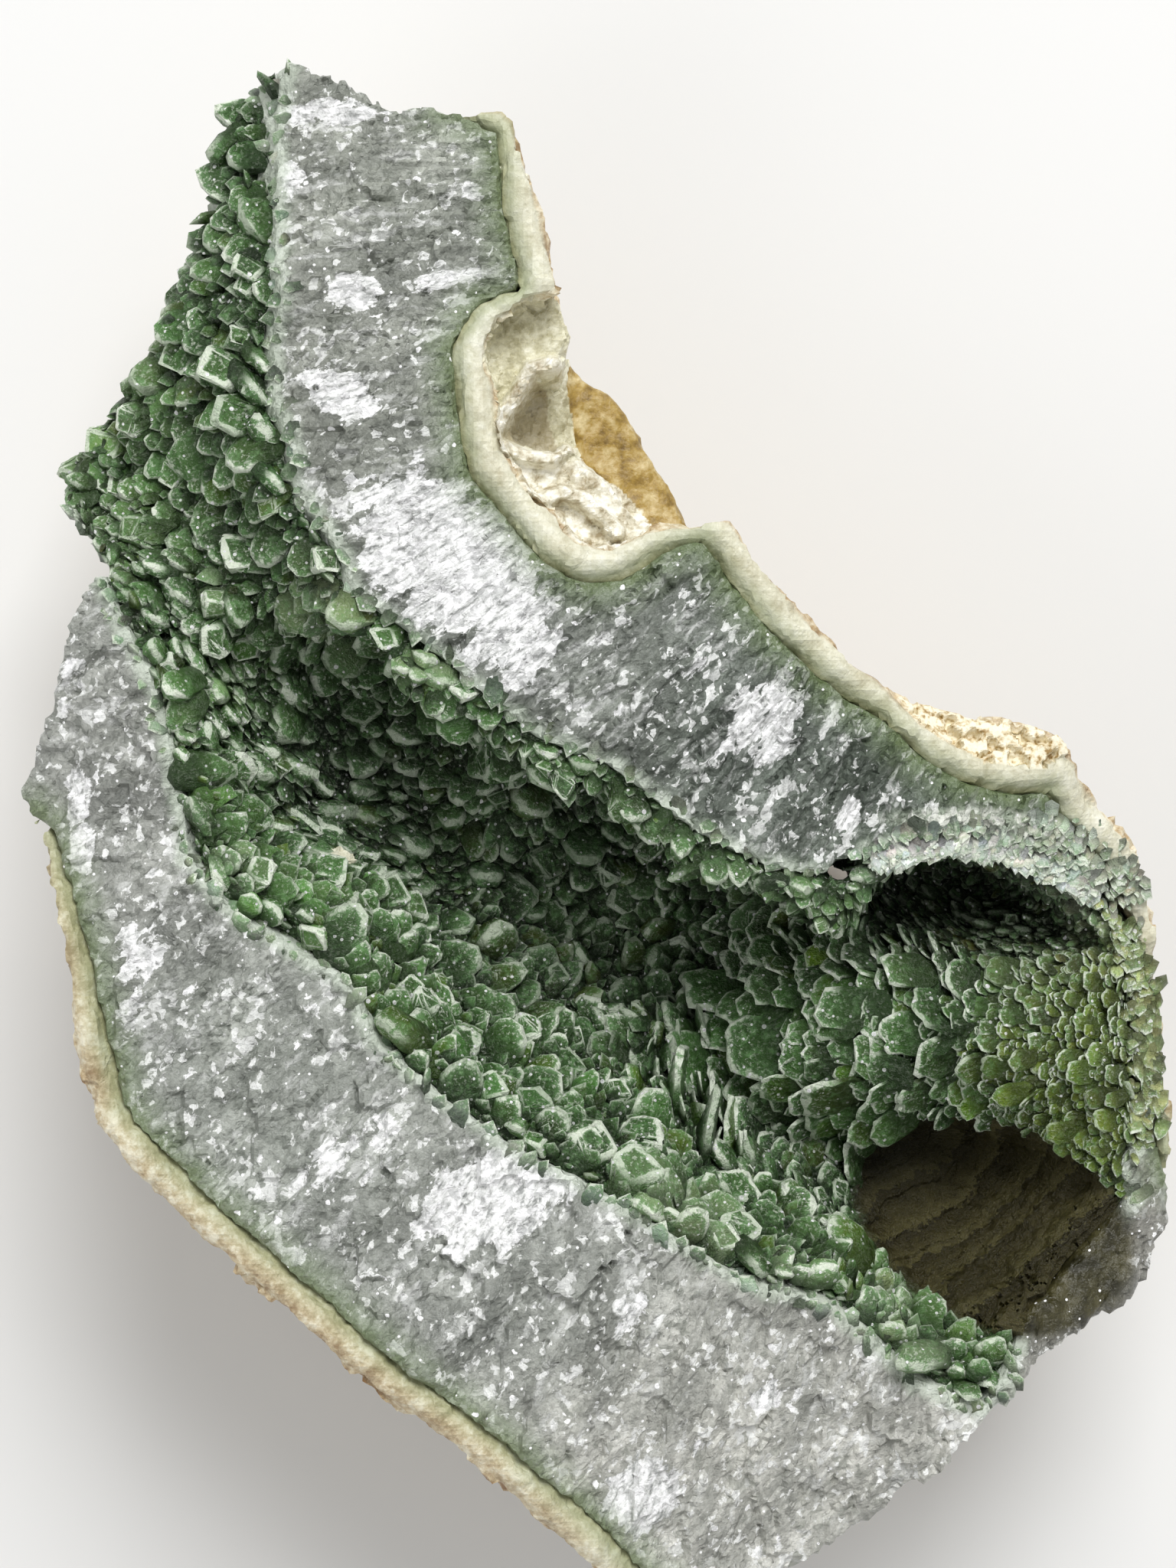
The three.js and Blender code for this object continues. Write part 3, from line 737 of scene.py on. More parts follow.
def quartz_material():
    """Grey translucent quartz with white bruises, specks painted as glints and a green tinge near the
    crystals.
    """
    s = Shader("quartz")
    mm = s.millimetres()
    swirl = s.node("TexNoise", {"Vector": mm, "Scale": 1 / 1.1, "Detail": 3.0}).outputs["Color"]
    warped = s.vector("MULTIPLY_ADD", swirl, (1.1, 1.1, 1.1), mm)
    fibres = s.fibres(warped, 0.5)
    strokes = s.noise(s.fibres(mm, 0.3), 0.42, 3.0, 0.6)
    zones = s.noise(s.fibres(mm, 0.6), 4.5, 3.0, 0.6)
    feathers = s.noise(s.fibres(warped, 0.28), 1.5, 5.0, 0.65)
    streaks = s.noise(fibres, 0.9, 4.0, 0.7)
    fine = s.noise(mm, 0.35, 3.0, 0.75)
    chips = s.chips(fibres, 1.25)
    crumbs = s.chips(warped, 0.65)
    busy = s.step(zones, 0.38, 0.62)

    value = s.total((streaks, 0.3), (fine, 0.15), (zones, 0.55))
    body = s.ramp(value, (0.36, 0.12, 0.125, 0.115), (0.5, 0.21, 0.215, 0.2), (0.64, 0.36, 0.365, 0.345))
    body = s.layered(body, ((0.07, 0.08, 0.065), s.total((busy, 0.35), plus=0.1), crumbs, 0.22, 0.1))
    body = s.mix(1.0, body, s.attribute("tone", "Color"), "MULTIPLY")
    body = s.layered(
        body,
        ((0.66, 0.67, 0.65), 0.6, feathers, 0.53, 0.66),
        ((0.8, 0.81, 0.79), 0.75, s.total((chips, 0.36), (crumbs, 0.22), (busy, 0.42)), 0.77, 0.84),
        ((0.9, 0.91, 0.89), 0.8, s.total((crumbs, 0.6), (streaks, 0.6)), 0.83, 0.88),
    )

    bruise = s.ramp(strokes, (0.34, 0.34, 0.35, 0.34), (0.43, 0.72, 0.73, 0.71), (0.55, 0.97, 0.97, 0.97))
    bruise = s.layered(bruise, ((0.5, 0.51, 0.5), 0.6, crumbs, 0.3, 0.1))
    torn = s.total((s.noise(fibres, 2.2, 2.0), 1.9), (streaks, 1.2), plus=-1.5)
    body = s.mix(s.step(s.math("ADD", s.attribute("bruise"), torn), 0.42, 0.5), body, bruise)

    near_rind = s.total((streaks, 2.4), plus=s.attribute("rind_distance"))
    crust_distance = s.attribute("crust_distance")
    sugar = s.mix(s.step(crumbs, 0.2, 0.8), (0.4, 0.46, 0.36), (0.78, 0.8, 0.72))
    body = s.layered(
        body,
        ((0.2, 0.27, 0.13), 0.6, near_rind, 5.2, 1.4),
        ((0.1, 0.14, 0.04), 0.45, near_rind, 2.7, 1.7),
        ((0.12, 0.2, 0.09), 0.35, s.total((streaks, 2.4), plus=crust_distance), 3.2, 1.6),
        ((0.64, 0.7, 0.6), 0.7, s.total((feathers, 2.6), plus=crust_distance), 3.0, 1.9),
        (sugar, s.attribute("pale"), fine, 0.2, 0.5),
    )

    cave = s.attribute("cave")
    layers = s.noise(mm, 2.4, 3.0)
    brown = s.ramp(layers, (0.35, 0.022, 0.02, 0.006), (0.6, 0.06, 0.054, 0.018), (0.75, 0.1, 0.09, 0.04))
    body = s.mix(cave, body, brown)
    # White specks painted as glints on the broken face
    body = s.mix(s.specks(mm, 0.9, 0.4, 0.12), body, WHITE)
    body = s.mix(s.times(s.specks(warped, 2.4, 0.5, 0.26), s.math("SUBTRACT", 1.0, cave)), body, WHITE)
    normal = s.bump(s.facets(fibres, 1.25), 0.6)
    normal = s.bump(s.facets(warped, 0.5), 0.3, normal)
    normal = s.bump(fine, 0.15, normal)
    rough = s.total((fine, 0.5), plus=0.1)
    return s.finish({"Base Color": body, "Roughness": rough, "Normal": normal, "Specular IOR Level": 0.6})


def rind_material():
    """Cream and olive chalcedony: waxy where it is broken, dull and pitted outside."""
    s = Shader("rind")
    mm = s.millimetres()
    coarse = s.noise(mm, 4.0, 3.0)
    grains = s.noise(mm, 0.7, 4.0, 0.65)
    spots = s.noise(mm, 1.8, 3.0)
    pores = s.noise(mm, 0.55, 2.0)
    value = s.total((grains, 0.5), (coarse, 0.5))
    cream = s.ramp(value, (0.32, 0.46, 0.42, 0.28), (0.5, 0.66, 0.64, 0.49), (0.68, 0.82, 0.81, 0.69))
    tan = s.ramp(value, (0.4, 0.24, 0.12, 0.035), (0.5, 0.52, 0.4, 0.23), (0.6, 0.78, 0.72, 0.55))
    body = s.mix(s.attribute("outside"), cream, tan)
    sheer = s.ramp(value, (0.36, 0.2, 0.21, 0.08), (0.5, 0.42, 0.43, 0.24), (0.64, 0.72, 0.72, 0.52))
    near_wall = s.total((grains, 0.6), plus=s.attribute("wall_distance"))
    body = s.layered(
        body,
        (sheer, s.attribute("soft"), spots, 0.35, 0.6),
        ((0.33, 0.38, 0.21), 0.75, near_wall, 2.4, 0.3),
    )
    mottled = s.total((spots, 0.7), (grains, 0.3))
    honey = s.ramp(mottled, (0.36, 0.15, 0.085, 0.01), (0.5, 0.38, 0.25, 0.055), (0.66, 0.68, 0.56, 0.3))
    body = s.mix(s.attribute("honey"), body, honey)
    sponge = s.ramp(pores, (0.34, 0.36, 0.23, 0.08), (0.43, 0.68, 0.57, 0.35), (0.54, 0.9, 0.83, 0.64))
    body = s.mix(s.attribute("sponge"), body, sponge)
    olive = s.ramp(value, (0.36, 0.36, 0.33, 0.19), (0.5, 0.64, 0.61, 0.43), (0.64, 0.88, 0.86, 0.7))
    crumbly = s.total((spots, 0.6), (grains, 0.4))
    snow = s.ramp(crumbly, (0.38, 0.36, 0.29, 0.17), (0.48, 0.7, 0.66, 0.52), (0.56, 0.95, 0.93, 0.84))
    pocket = s.mix(s.attribute("snow"), olive, snow)
    # Painted shade: the pit in the pocket is darkened brown
    pocket = s.mix(s.times(s.attribute("pit"), 0.55), pocket, (0.26, 0.19, 0.09))
    body = s.mix(s.attribute("pocket"), body, pocket)
    normal = s.bump(s.facets(mm, 0.8), 0.14)
    normal = s.bump(grains, 0.14, normal)
    return s.finish({"Base Color": body, "Roughness": 0.45, "Normal": normal, "Specular IOR Level": 0.5})


def crystal_material(name):
    """Dark green quartz with pale frosted edges, painted shade and glints, and the brown layers of the cave.
    """
    s = Shader(name)
    mm = s.millimetres()
    sugar = s.noise(mm, 0.32, 3.0, 0.75)
    cloud = s.noise(mm, 0.8, 3.0, 0.65)
    patches = s.noise(mm, 0.8, 2.0)
    tip, cave, layer = (s.attribute(key) for key in ("tip", "cave", "layer"))
    tint = s.attribute("tint", "Color")
    pale = s.mix(0.92, tint, (0.92, 1.0, 0.83))
    middle = s.mix(0.7, tint, (0.2, 0.39, 0.155))
    # Painted shade: each crystal's tint darkens towards its root, where the crystals crowd together
    root_shaded = s.mix(s.step(tip, 0.1, 1.0), s.mix(0.65, tint, (0.006, 0.014, 0.004)), tint)
    inset = s.math("ADD", s.attribute("core"), s.total((patches, 0.36), (sugar, 0.3), plus=-0.34))
    weight = s.times(s.step(tip, 0.45, 0.95), s.attribute("rim"))
    body = s.layered(
        root_shaded,
        (middle, tip, cloud, 0.45, 0.72),
        (middle, s.times(weight, 0.85), inset, 0.22, 0.04),
        (pale, weight, inset, 0.085, 0.01),
        (pale, s.total((weight, 0.5), plus=0.08), sugar, 0.52, 0.64),
    )
    bands = s.math("FRACT", s.total((cloud, 0.9), (layer, 0.3)))
    brown = s.ramp(bands, (0.0, 0.022, 0.018, 0.004), (0.6, 0.045, 0.038, 0.01), (0.9, 0.075, 0.066, 0.022))
    # Painted shadow: the cave darkens towards low layer values, over its upper part under the lobe
    brown = s.layered(brown, ((0.012, 0.011, 0.003), 0.7, layer, 5.0, -1.0))
    body = s.mix(cave, body, brown)
    # White specks painted as glints on the crystals' tips
    dots = s.math("MAXIMUM", s.specks(mm, 0.8, 0.6, 0.13), s.specks(mm, 1.7, 0.5, 0.2))
    body = s.mix(s.times(s.math("SUBTRACT", tip, cave), dots), body, WHITE)
    normal = s.bump(s.facets(mm, 0.75), 0.5)
    normal = s.bump(sugar, 0.4, normal)
    return s.finish({
        "Base Color": body,
        "Roughness": s.total((sugar, 0.45), plus=0.12),
        "Normal": normal,
        "Specular IOR Level": 0.42,
        "Subsurface Weight": 0.14,
        "Subsurface Radius": (0.8, 1.0, 0.7),
        "Subsurface Scale": 0.8 * MM,
    })


# The layers


def make_wall(stones):
    """The broken quartz wall."""
    mesh = remeshed(stones.meshes["quartz_wall"], WALL_VOXEL)
    refine(mesh, lambda *faces: stones.open_faces(("crystal_crust", "rind"), *faces, 0.25, 20))
    places, normals = vertex_data(mesh)
    rind_distance = stones.distance("rind", places)
    crust_distance = stones.distance("crystal_crust", places)
    free = np.minimum(step(0.2, 1.4, rind_distance), step(0.2, 1.2, crust_distance))
    cave = cave_share(places)
    fibres = fibre_places(places, 0.4)
    rough = 0.7 * facets(fibres, 2.6) + 0.34 * facets(fibres, 1.2) + 0.35 * lumps(places, 6.0)
    ledges = places[:, 2] + 1.5 * lumps(places, 7.0)
    terraces = 0.45 * (np.abs((ledges / 2.2) % 1 - 0.5) * 2 - 0.5)
    height = (rough * (1 - 0.85 * cave) + terraces * cave) * (0.15 + 0.85 * free)
    height *= step(*WORN, places[:, 2]) * off_hole(places)
    places = set_places(mesh, places + normals * height[:, None])
    bruise = [strength * step(1.25, 0.35, blob(places, *spot)) for *spot, strength in BRUISES]
    pale = [step(1.2, 0.7, blob(places, *spot)) for spot in FROSTED]
    tone_x, tone_y, *tone = np.array(TONES).T
    weight = (np.hypot(places[:, :1] - tone_x, places[:, 1:2] - tone_y) + 2) ** -3.0
    add_values(
        mesh,
        bruise=np.max(bruise, axis=0),
        pale=np.max(pale, axis=0),
        tone=weight @ np.array(tone).T / weight.sum(1, keepdims=True),
        rind_distance=rind_distance,
        crust_distance=crust_distance,
        cave=cave,
    )
    middles, normals, areas = face_data(mesh)
    front = np.flatnonzero((normals[:, 2] > 0.1) & (middles[:, 2] > 24) & (cave_share(middles) < 0.05))
    near = front[stones.distance("crystal_crust", middles[front]) < BORDER_REACH]
    border = middles[near], normals[near], areas[near]
    return new_piece("quartz_wall_broken", mesh, quartz_material()), border


def make_rind(stones):
    """The outer layer, with the pocket, the honey plate and the porous patch."""
    mesh = remeshed(stones.meshes["rind"], RIND_VOXEL)
    smooth(mesh, 4)

    def front(*faces):
        return stones.open_faces(("quartz_wall",), *faces, 0.1, 22)

    refine(mesh, front)
    refine(mesh, lambda *faces: front(*faces) & (inside(faces[0], SPONGE) | inside(faces[0], POCKET)))
    places, normals = vertex_data(mesh)
    x, y, z = places.T
    wall_distance = stones.distance("quartz_wall", places)
    high = step(20, 26, z)
    top = step(0.2, 0.7, normals[:, 2]) * high
    sponge = inside(places, SPONGE) * high * step(0.0, 0.5, normals[:, 2])
    pocket = inside(places, POCKET) * high
    honey = inside(places, HONEY)
    knobs = (0.75 * facets(places, 3.2) + 0.5 * lumps(places, 2.4)) * np.where(honey & (z > 12), 0.3, 1.0)
    soft = step(42.5, 44.5, x) * step(-34, -30, y) * step(4, 0, y)
    waxy = 0.16 * lumps(places, 2.6) + 0.04 * facets(places, 1.6) + soft * 0.4 * lumps(places, 1.8)
    waxy += (0.4 * (1 - np.clip(np.abs(wall_distance - 1.4) / 1.4, 0, 1) ** 2) - 0.1) * (1 - soft)
    holes = -1.0 * step(0.0, 0.35, lumps(places, 1.3, 2))
    grainy = 0.3 * facets(places, 1.3) + 0.2 * lumps(places, 0.9, 2)
    hidden = stones.faces_node("quartz_wall", places, normals, 1.0) * step(0.6, 0.2, normals[:, 2])
    height = knobs
    for form, share in ((waxy, top), (holes + 0.2, sponge), (grainy, pocket), (CLOSE_UP, hidden)):
        height = height * (1 - share) + form * share
    height *= step(*WORN, z) * off_hole(places)
    moved = places + normals * height[:, None]
    ridge = np.max([step(1.0, 0.3, line_distance(moved, points)) for points in RIDGES], axis=0)
    moved[:, 2] += 1.5 * ridge * pocket
    moved = set_places(mesh, moved)
    x, y, z = moved.T
    weathered = 0.75 * step(10, -10, x) * step(5, -5, y)
    add_values(
        mesh,
        snow=np.maximum(ridge, pocket * step(32.5, 30.5, y)),
        outside=np.maximum(1 - top, weathered),
        wall_distance=wall_distance,
        honey=honey * high * step(30, 28.5, places[:, 2]),
        sponge=sponge,
        pocket=pocket,
        soft=soft * step(31.5, 34, z),
        pit=pocket * (1 - ridge) * inside(moved, PIT),
    )
    return new_piece("rind_chalcedony", mesh, rind_material())


def make_crumb(stones):
    """The cream crumb of rind that lies on the crystals under the neck."""
    x, y, reach = CRUMB
    top = stones.trees["crystal_crust"].ray_cast(Vector((x, y, BOX_HIGH[2])), DOWN)[0]
    bm = bmesh.new()
    bmesh.ops.create_icosphere(bm, subdivisions=4, radius=reach)
    mesh = written(bm, bpy.data.meshes.new("crumb"))
    places, _ = vertex_data(mesh)
    height = 0.5 * facets(places, 0.9) + 0.12 * lumps(places, 0.5)
    places = places * (1.0, 0.75, 0.7) * (1 + height / reach)[:, None]
    set_places(mesh, places + (x, y, top.z + 1.5 * reach))
    none = np.zeros(len(places))
    unused = ("outside", "sponge", "honey", "pocket", "snow", "soft", "pit")
    add_values(mesh, wall_distance=none + 2.0, **dict.fromkeys(unused, none))
    return new_piece("rind_crumb", mesh, rind_material())


def make_crust(stones):
    """The ground that the crystals grow on, and the middle, normal and area of its faces in the hollow."""
    mesh = remeshed(stones.meshes["crystal_crust"], CRUST_VOXEL)
    smooth(mesh, 8)
    faces = face_data(mesh)
    shown = ~stones.against(*faces[:2])
    skin = tuple(part[shown] for part in faces)
    for _ in range(2):
        refine(mesh, lambda middles, normals: (cave_share(middles) > 0.02) & (normals[:, 2] > -0.2))
    places, normals = vertex_data(mesh)
    close = stones.against(places, normals)
    cave = cave_share(places)
    layer = (places - (24.0, -24.0, 30.0)) @ (0.62, -0.68, 0.38) + 1.2 * lumps(places, 6.0)
    steps = 0.3 * step(0.0, 1.0, (layer / 2.6) % 1) + 0.3 * lumps(places, 1.8)
    height = np.where(close, CLOSE_UP, (0.3 * facets(places, 2.0) - 0.4) * (1 - cave) + steps * cave)
    places = places + normals * (height * off_hole(places))[:, None]
    open_ones = np.flatnonzero(~close & (hole_distance(places) > 2.2))
    for name in ("quartz_wall", "rind"):
        places[open_ones] = stones.kept_off(name, places[open_ones], 0.35)
    places = set_places(mesh, places)
    values = region_values(places)
    add_values(
        mesh,
        # The ground between the crystals is painted dark as shade
        tint=values[:, TINT] * GROUND_PAINTED_SHADE,
        core=np.full(len(places), 0.6),
        tip=np.full(len(places), 0.85),
        rim=values[:, RIM] * GROUND_FROST,
        cave=cave,
        layer=layer,
    )
    return new_piece("crystal_ground", mesh, crystal_material("crystal_ground")), skin


# The crystals


def region_values(places):
    """The values of the regions at each place, blended by distance."""
    table = np.array([(*row[:7], *row[7], *row[8:]) for row in REGIONS])
    gap = np.linalg.norm(places[:, None, :] - table[None, :, :3], axis=2)
    weight = 1 / (gap + 0.5) ** 4
    return (weight @ table[:, 3:]) / weight.sum(1, keepdims=True)


class Shape:
    """A crystal 1 wide that points along its third axis, with its broad side towards the second axis.

    The core is how far a corner lies inside a face, 0 on a frosted edge. The tip is how near it is to the
    free end.
    """

    def __init__(self, corners, faces, core):
        self.corners = np.array(corners, float)
        self.faces = np.array(faces)
        self.core = np.array(core, float)
        self.tip = step(-0.4, 0.5, self.corners[:, 2])


def block_shape(seed):
    """A blunt crystal with one of its three end faces to the front."""
    chance = np.random.default_rng(seed)
    places = [(0, 0, 0.8), (0.12, 0.1, 0.76)]
    for turn, height in ((60, 0.48), (-60, 0.48), (180, 0.5), (0, 0.08), (120, 0.08), (-120, 0.08)):
        a = math.radians(turn + chance.normal(0, 9))
        places.append((0.56 * math.sin(a), 0.56 * math.cos(a), height))
        places.append((0.38 * math.sin(a), 0.38 * math.cos(a), -0.5))
    places = np.array(places) + chance.normal(0, 0.06, (len(places), 3))
    bm = bmesh.new()
    bmesh.ops.convex_hull(bm, input=[bm.verts.new(p) for p in places])
    bmesh.ops.delete(bm, geom=[v for v in bm.verts if not v.link_faces], context="VERTS")
    bmesh.ops.dissolve_limit(bm, angle_limit=math.radians(14), verts=bm.verts, edges=bm.edges)
    sharp = [e for e in bm.edges if max(v.co.z for v in e.verts) > -0.1]
    bmesh.ops.bevel(bm, geom=sharp, offset=0.07, segments=2, profile=0.6, affect="EDGES", clamp_overlap=True)
    wide = [f for f in bm.faces if f.calc_area() > 0.03 and f.calc_center_median().z > -0.4]
    bmesh.ops.inset_individual(bm, faces=wide, thickness=0.07, depth=0.012, use_even_offset=True)
    inner = {v for f in wide for v in f.verts}
    bmesh.ops.triangulate(bm, faces=[f for f in bm.faces if len(f.verts) > 3])
    bm.verts.index_update()
    corners = [tuple(v.co) for v in bm.verts]
    core = [0.22 if v in inner else 0.0 for v in bm.verts]
    faces = [[v.index for v in f.verts] for f in bm.faces]
    bm.free()
    return Shape(corners, faces, core)


def ringed_shape(outline, rings, top, chance):
    """A closed shape from an outline that is repeated in rings, and closed by a point above and one below.

    A ring is its share of the outline's size, its rise and its core.
    """
    count = len(outline)
    corners, core = [], []
    for share, rise, level in rings:
        for x, z in outline:
            corners.append((x * share, rise + chance.normal(0, 0.03), z * share))
            core.append(level)
    corners += [(chance.normal(0, 0.05), top, chance.normal(0, 0.05)), (0, -0.5, -0.2)]
    core += [0.3, 0.3]
    last = (len(rings) - 1) * count
    faces = []
    for k in range(count):
        n = (k + 1) % count
        for low in range(0, last, count):
            high = low + count
            faces += [(low + k, high + k, high + n), (low + k, high + n, low + n)]
        faces += [(last + k, len(corners) - 2, last + n), (n, len(corners) - 1, k)]
    return Shape(corners, faces, core)


def tile_outline(chance, cut):
    """A blunt outline with six corners that points along the second value. Cut takes the corners off."""
    corners = [(0, 0.68), (-0.46, 0.3), (-0.47, -0.42), (0, -0.75), (0.47, -0.42), (0.46, 0.3)]
    corners = np.array(corners) + chance.normal(0, 0.07, (6, 2))
    if not cut:
        return corners
    before, after = np.roll(corners, 1, axis=0), np.roll(corners, -1, axis=0)
    pairs = np.stack([corners * (1 - cut) + before * cut, corners * (1 - cut) + after * cut], axis=1)
    return pairs.reshape(-1, 2)


def tile_shape(seed):
    """A thick blunt crystal that lies like a roof tile, with a ridged broad side."""
    chance = np.random.default_rng(seed)
    rings = ((0.8, -0.34, 0.3), (1.0, 0.0, 0.0), (0.93, 0.15, 0.045), (0.6, 0.27, 0.24))
    return ringed_shape(tile_outline(chance, chance.uniform(0.2, 0.34)), rings, 0.34, chance)


def chip_shape(seed):
    """A small plain crystal."""
    chance = np.random.default_rng(seed)
    return ringed_shape(tile_outline(chance, 0), ((1.0, 0.0, 0.0), (0.7, 0.26, 0.16)), 0.36, chance)


def scale_shape(seed, count):
    """A thin leaf-like scale."""
    chance = np.random.default_rng(seed)
    turns = -(np.arange(count) + chance.uniform(-0.25, 0.25, count)) * 2 * math.pi / count
    waves = chance.uniform(0, 2 * math.pi, 2)
    reach = 0.5 * (1 + 0.08 * np.sin(2 * turns + waves[0]) + 0.06 * np.sin(5 * turns + waves[1]))
    reach += chance.normal(0, 0.018, count)
    blunt_x = np.sign(np.sin(turns)) * np.abs(np.sin(turns)) ** 0.8
    blunt_z = np.sign(np.cos(turns)) * np.abs(np.cos(turns)) ** 0.8
    long = np.where(blunt_z > 0, 1.15, 1.6)
    outline = np.column_stack([reach * blunt_x, reach * long * blunt_z])
    return ringed_shape(outline, ((1.0, 0.0, 0.0), (0.92, 0.2, 0.03), (0.72, 0.2, 0.22)), 0.24, chance)


def spaced(packing, places, facing, values, widths):
    """The crystals that keep their distance from the others: packing times the mean of both widths."""
    held, kept = {}, []
    keys = np.floor(places / (widths.max() * packing)).astype(int)
    for i, (x, y, z) in enumerate(keys.tolist()):
        near = [j for dx, dy, dz in AROUND for j in held.get((x + dx, y + dy, z + dz), ())]
        gaps = ((places[near] - places[i]) ** 2).sum(1)
        if (gaps > (packing * (widths[i] + widths[near]) / 2) ** 2).all():
            held.setdefault((x, y, z), []).append(i)
            kept.append(i)
    return places[kept], facing[kept], values[kept], widths[kept]


def crystal_frames(normals, values, spread):
    """Three axes for each crystal: its width, the side that faces the viewer, and its length."""
    toward = np.column_stack([values[:, TOWARD], np.zeros(len(values))])
    toward = toward + rng.normal(0, spread, toward.shape)
    along = unit(toward - (toward * normals).sum(1, keepdims=True) * normals)
    lift = np.radians(values[:, LIFT] + rng.normal(0, 60 * spread, len(values)))
    length = unit(along * np.cos(lift)[:, None] + normals * np.sin(lift)[:, None])
    front = unit(normals - (normals * length).sum(1, keepdims=True) * length)
    width = np.cross(front, length)
    return np.stack([width, front, length], axis=2)


def grow(name, stones, places, normals, values, widths, shapes, material):
    """One piece with a crystal at each place. Crystals with a root that would hang free are left out."""
    lengths = widths * rng.uniform(0.85, 1.2, len(widths))
    axes = crystal_frames(normals, values, SPREAD)
    roots = places - axes[:, :, 2] * (ROOT * lengths)[:, None]
    rooted = (stones.outside(roots) < ROOT_SLACK) & (hole_distance(places) > HOLE_RADIUS + 0.4 * widths)
    places, values, widths, lengths, axes = (part[rooted] for part in (places, values, widths, lengths, axes))
    total = len(places)
    kinds = rng.integers(len(shapes), size=total)
    shade = np.exp(rng.normal(0, 0.3, (total, 1)) + rng.normal(0, (0.06, 0.03, 0.05), (total, 3)))
    sunny = (rng.uniform(size=total) < SUNNY_SHARE) & (values[:, TINT].sum(axis=1) < SUNNY_LIMIT)
    shade[sunny] *= SUNNY
    frost = rng.uniform(0.55, 1.35, total)
    size = np.column_stack([widths, widths * values[:, FLAT], lengths])
    parts = []
    start = 0
    for kind, shape in enumerate(shapes):
        mine = np.flatnonzero(kinds == kind)
        count = len(shape.corners)
        bent = shape.corners[None] + rng.normal(0, UNEVEN, (len(mine), count, 3))
        placed = np.einsum("nij,nvj->nvi", axes[mine], bent * size[mine][:, None]) + places[mine][:, None]
        placed += (np.minimum(0, BOX_HIGH - placed.max(1)) + np.maximum(0, BOX_LOW - placed.min(1)))[:, None]
        faces = start + (np.arange(len(mine)) * count)[:, None, None] + shape.faces[None]
        start += len(mine) * count
        parts.append((
            placed.reshape(-1, 3),
            faces.reshape(-1, 3),
            np.tile(shape.core, len(mine)),
            np.tile(shape.tip, len(mine)),
            np.repeat(values[mine, TINT] * shade[mine], count, axis=0),
            np.repeat(values[mine, RIM] * frost[mine], count),
        ))
    corners, faces, core, tip, tint, rim = (np.concatenate(part) for part in zip(*parts))
    mesh = bpy.data.meshes.new(name)
    mesh.from_pydata(corners.tolist(), [], faces.tolist())
    mesh.validate()
    none = np.zeros(len(corners))
    add_values(mesh, core=core, tip=tip, cave=none, layer=none, tint=tint, rim=np.clip(rim, 0, 1))
    mesh.shade_smooth()
    mesh.set_sharp_from_angle(angle=SHARP)
    return new_piece(name, mesh, material)


def drawn(skin, tries, jitter):
    """Random places on the skin, and the normal at each."""
    middles, normals, areas = skin
    chosen = rng.choice(len(middles), tries, p=areas / areas.sum())
    return middles[chosen] + rng.normal(0, jitter, (tries, 3)), normals[chosen]


def scattered(skin, tries, size, packing):
    """Places for crystals on the skin: the place, the normal, the region's values and the width of each."""
    spots, facing = drawn(skin, tries, 0.3)
    x, y, z = spots.T
    edge_x, edge_y = np.array(BRIDGE_EDGE).T
    under = np.interp(x, edge_x, edge_y) - y
    bridge = (x > edge_x[0]) & (x < edge_x[-1]) & (under > -0.2) & (under < 4) & (z > 31.5)
    keep = (cave_share(spots) < 0.5) & ~bridge
    spots, facing = spots[keep], facing[keep]
    values = region_values(spots)
    for pale_x, pale_y, reach in PALE:
        share = 0.85 * step(1.3, 0.6, np.hypot(spots[:, 0] - pale_x, spots[:, 1] - pale_y) / reach)
        values[:, TINT] += (np.array(PALE_GREEN) - values[:, TINT]) * share[:, None]
    widths = values[:, WIDTH] * size * np.exp(np.clip(rng.normal(0, 0.3, len(values)), -0.5, 0.35))
    return spaced(packing, spots, facing, values, widths)


def edge_spots(stones, points, reach, colour, count):
    """Places, normals, values and widths of tiny crystals along an edge."""
    line = np.array(points)
    steps = np.linalg.norm(np.diff(line, axis=0), axis=1)
    at = rng.choice(len(steps), count, p=steps / steps.sum())
    share = rng.uniform(size=(count, 1))
    flat = line[at] * (1 - share) + line[at + 1] * share + rng.normal(0, reach / 2, (count, 2))
    spots = []
    for x, y in flat:
        start = Vector((x, y, BOX_HIGH[2]))
        hits = [tree.ray_cast(start, DOWN)[0] for tree in stones.trees.values()]
        spots.append((x, y, max((hit.z for hit in hits if hit is not None), default=0.0)))
    spots = np.array(spots)
    spots = spots[spots[:, 2] > 30]
    facing = unit(rng.normal((0, -0.4, 0.9), 0.35, (len(spots), 3)))
    values = np.tile([-0.1, -0.9, 50, 0.8, *colour, 1.0, 0.9], (len(spots), 1))
    return spots, facing, values, rng.uniform(0.4, 1.5, len(spots))


def border_spots(border, tries):
    """Places, normals, values and widths of the small frosted crystals along the wall's broken edge."""
    spots, facing = drawn(border, tries, 0.15)
    values = region_values(spots)
    values[:, TINT] += (np.array(FROST) - values[:, TINT]) * rng.uniform(0.35, 1.0, (tries, 1))
    return spaced(0.75, spots, facing, values, rng.uniform(0.8, 2.1, tries))


def scales_in(spots):
    """True for each place where the crystal is a scale."""
    return (spots[2][:, FLAT] < SCALY) & (spots[1][:, 2] > SCALE_GROUND)


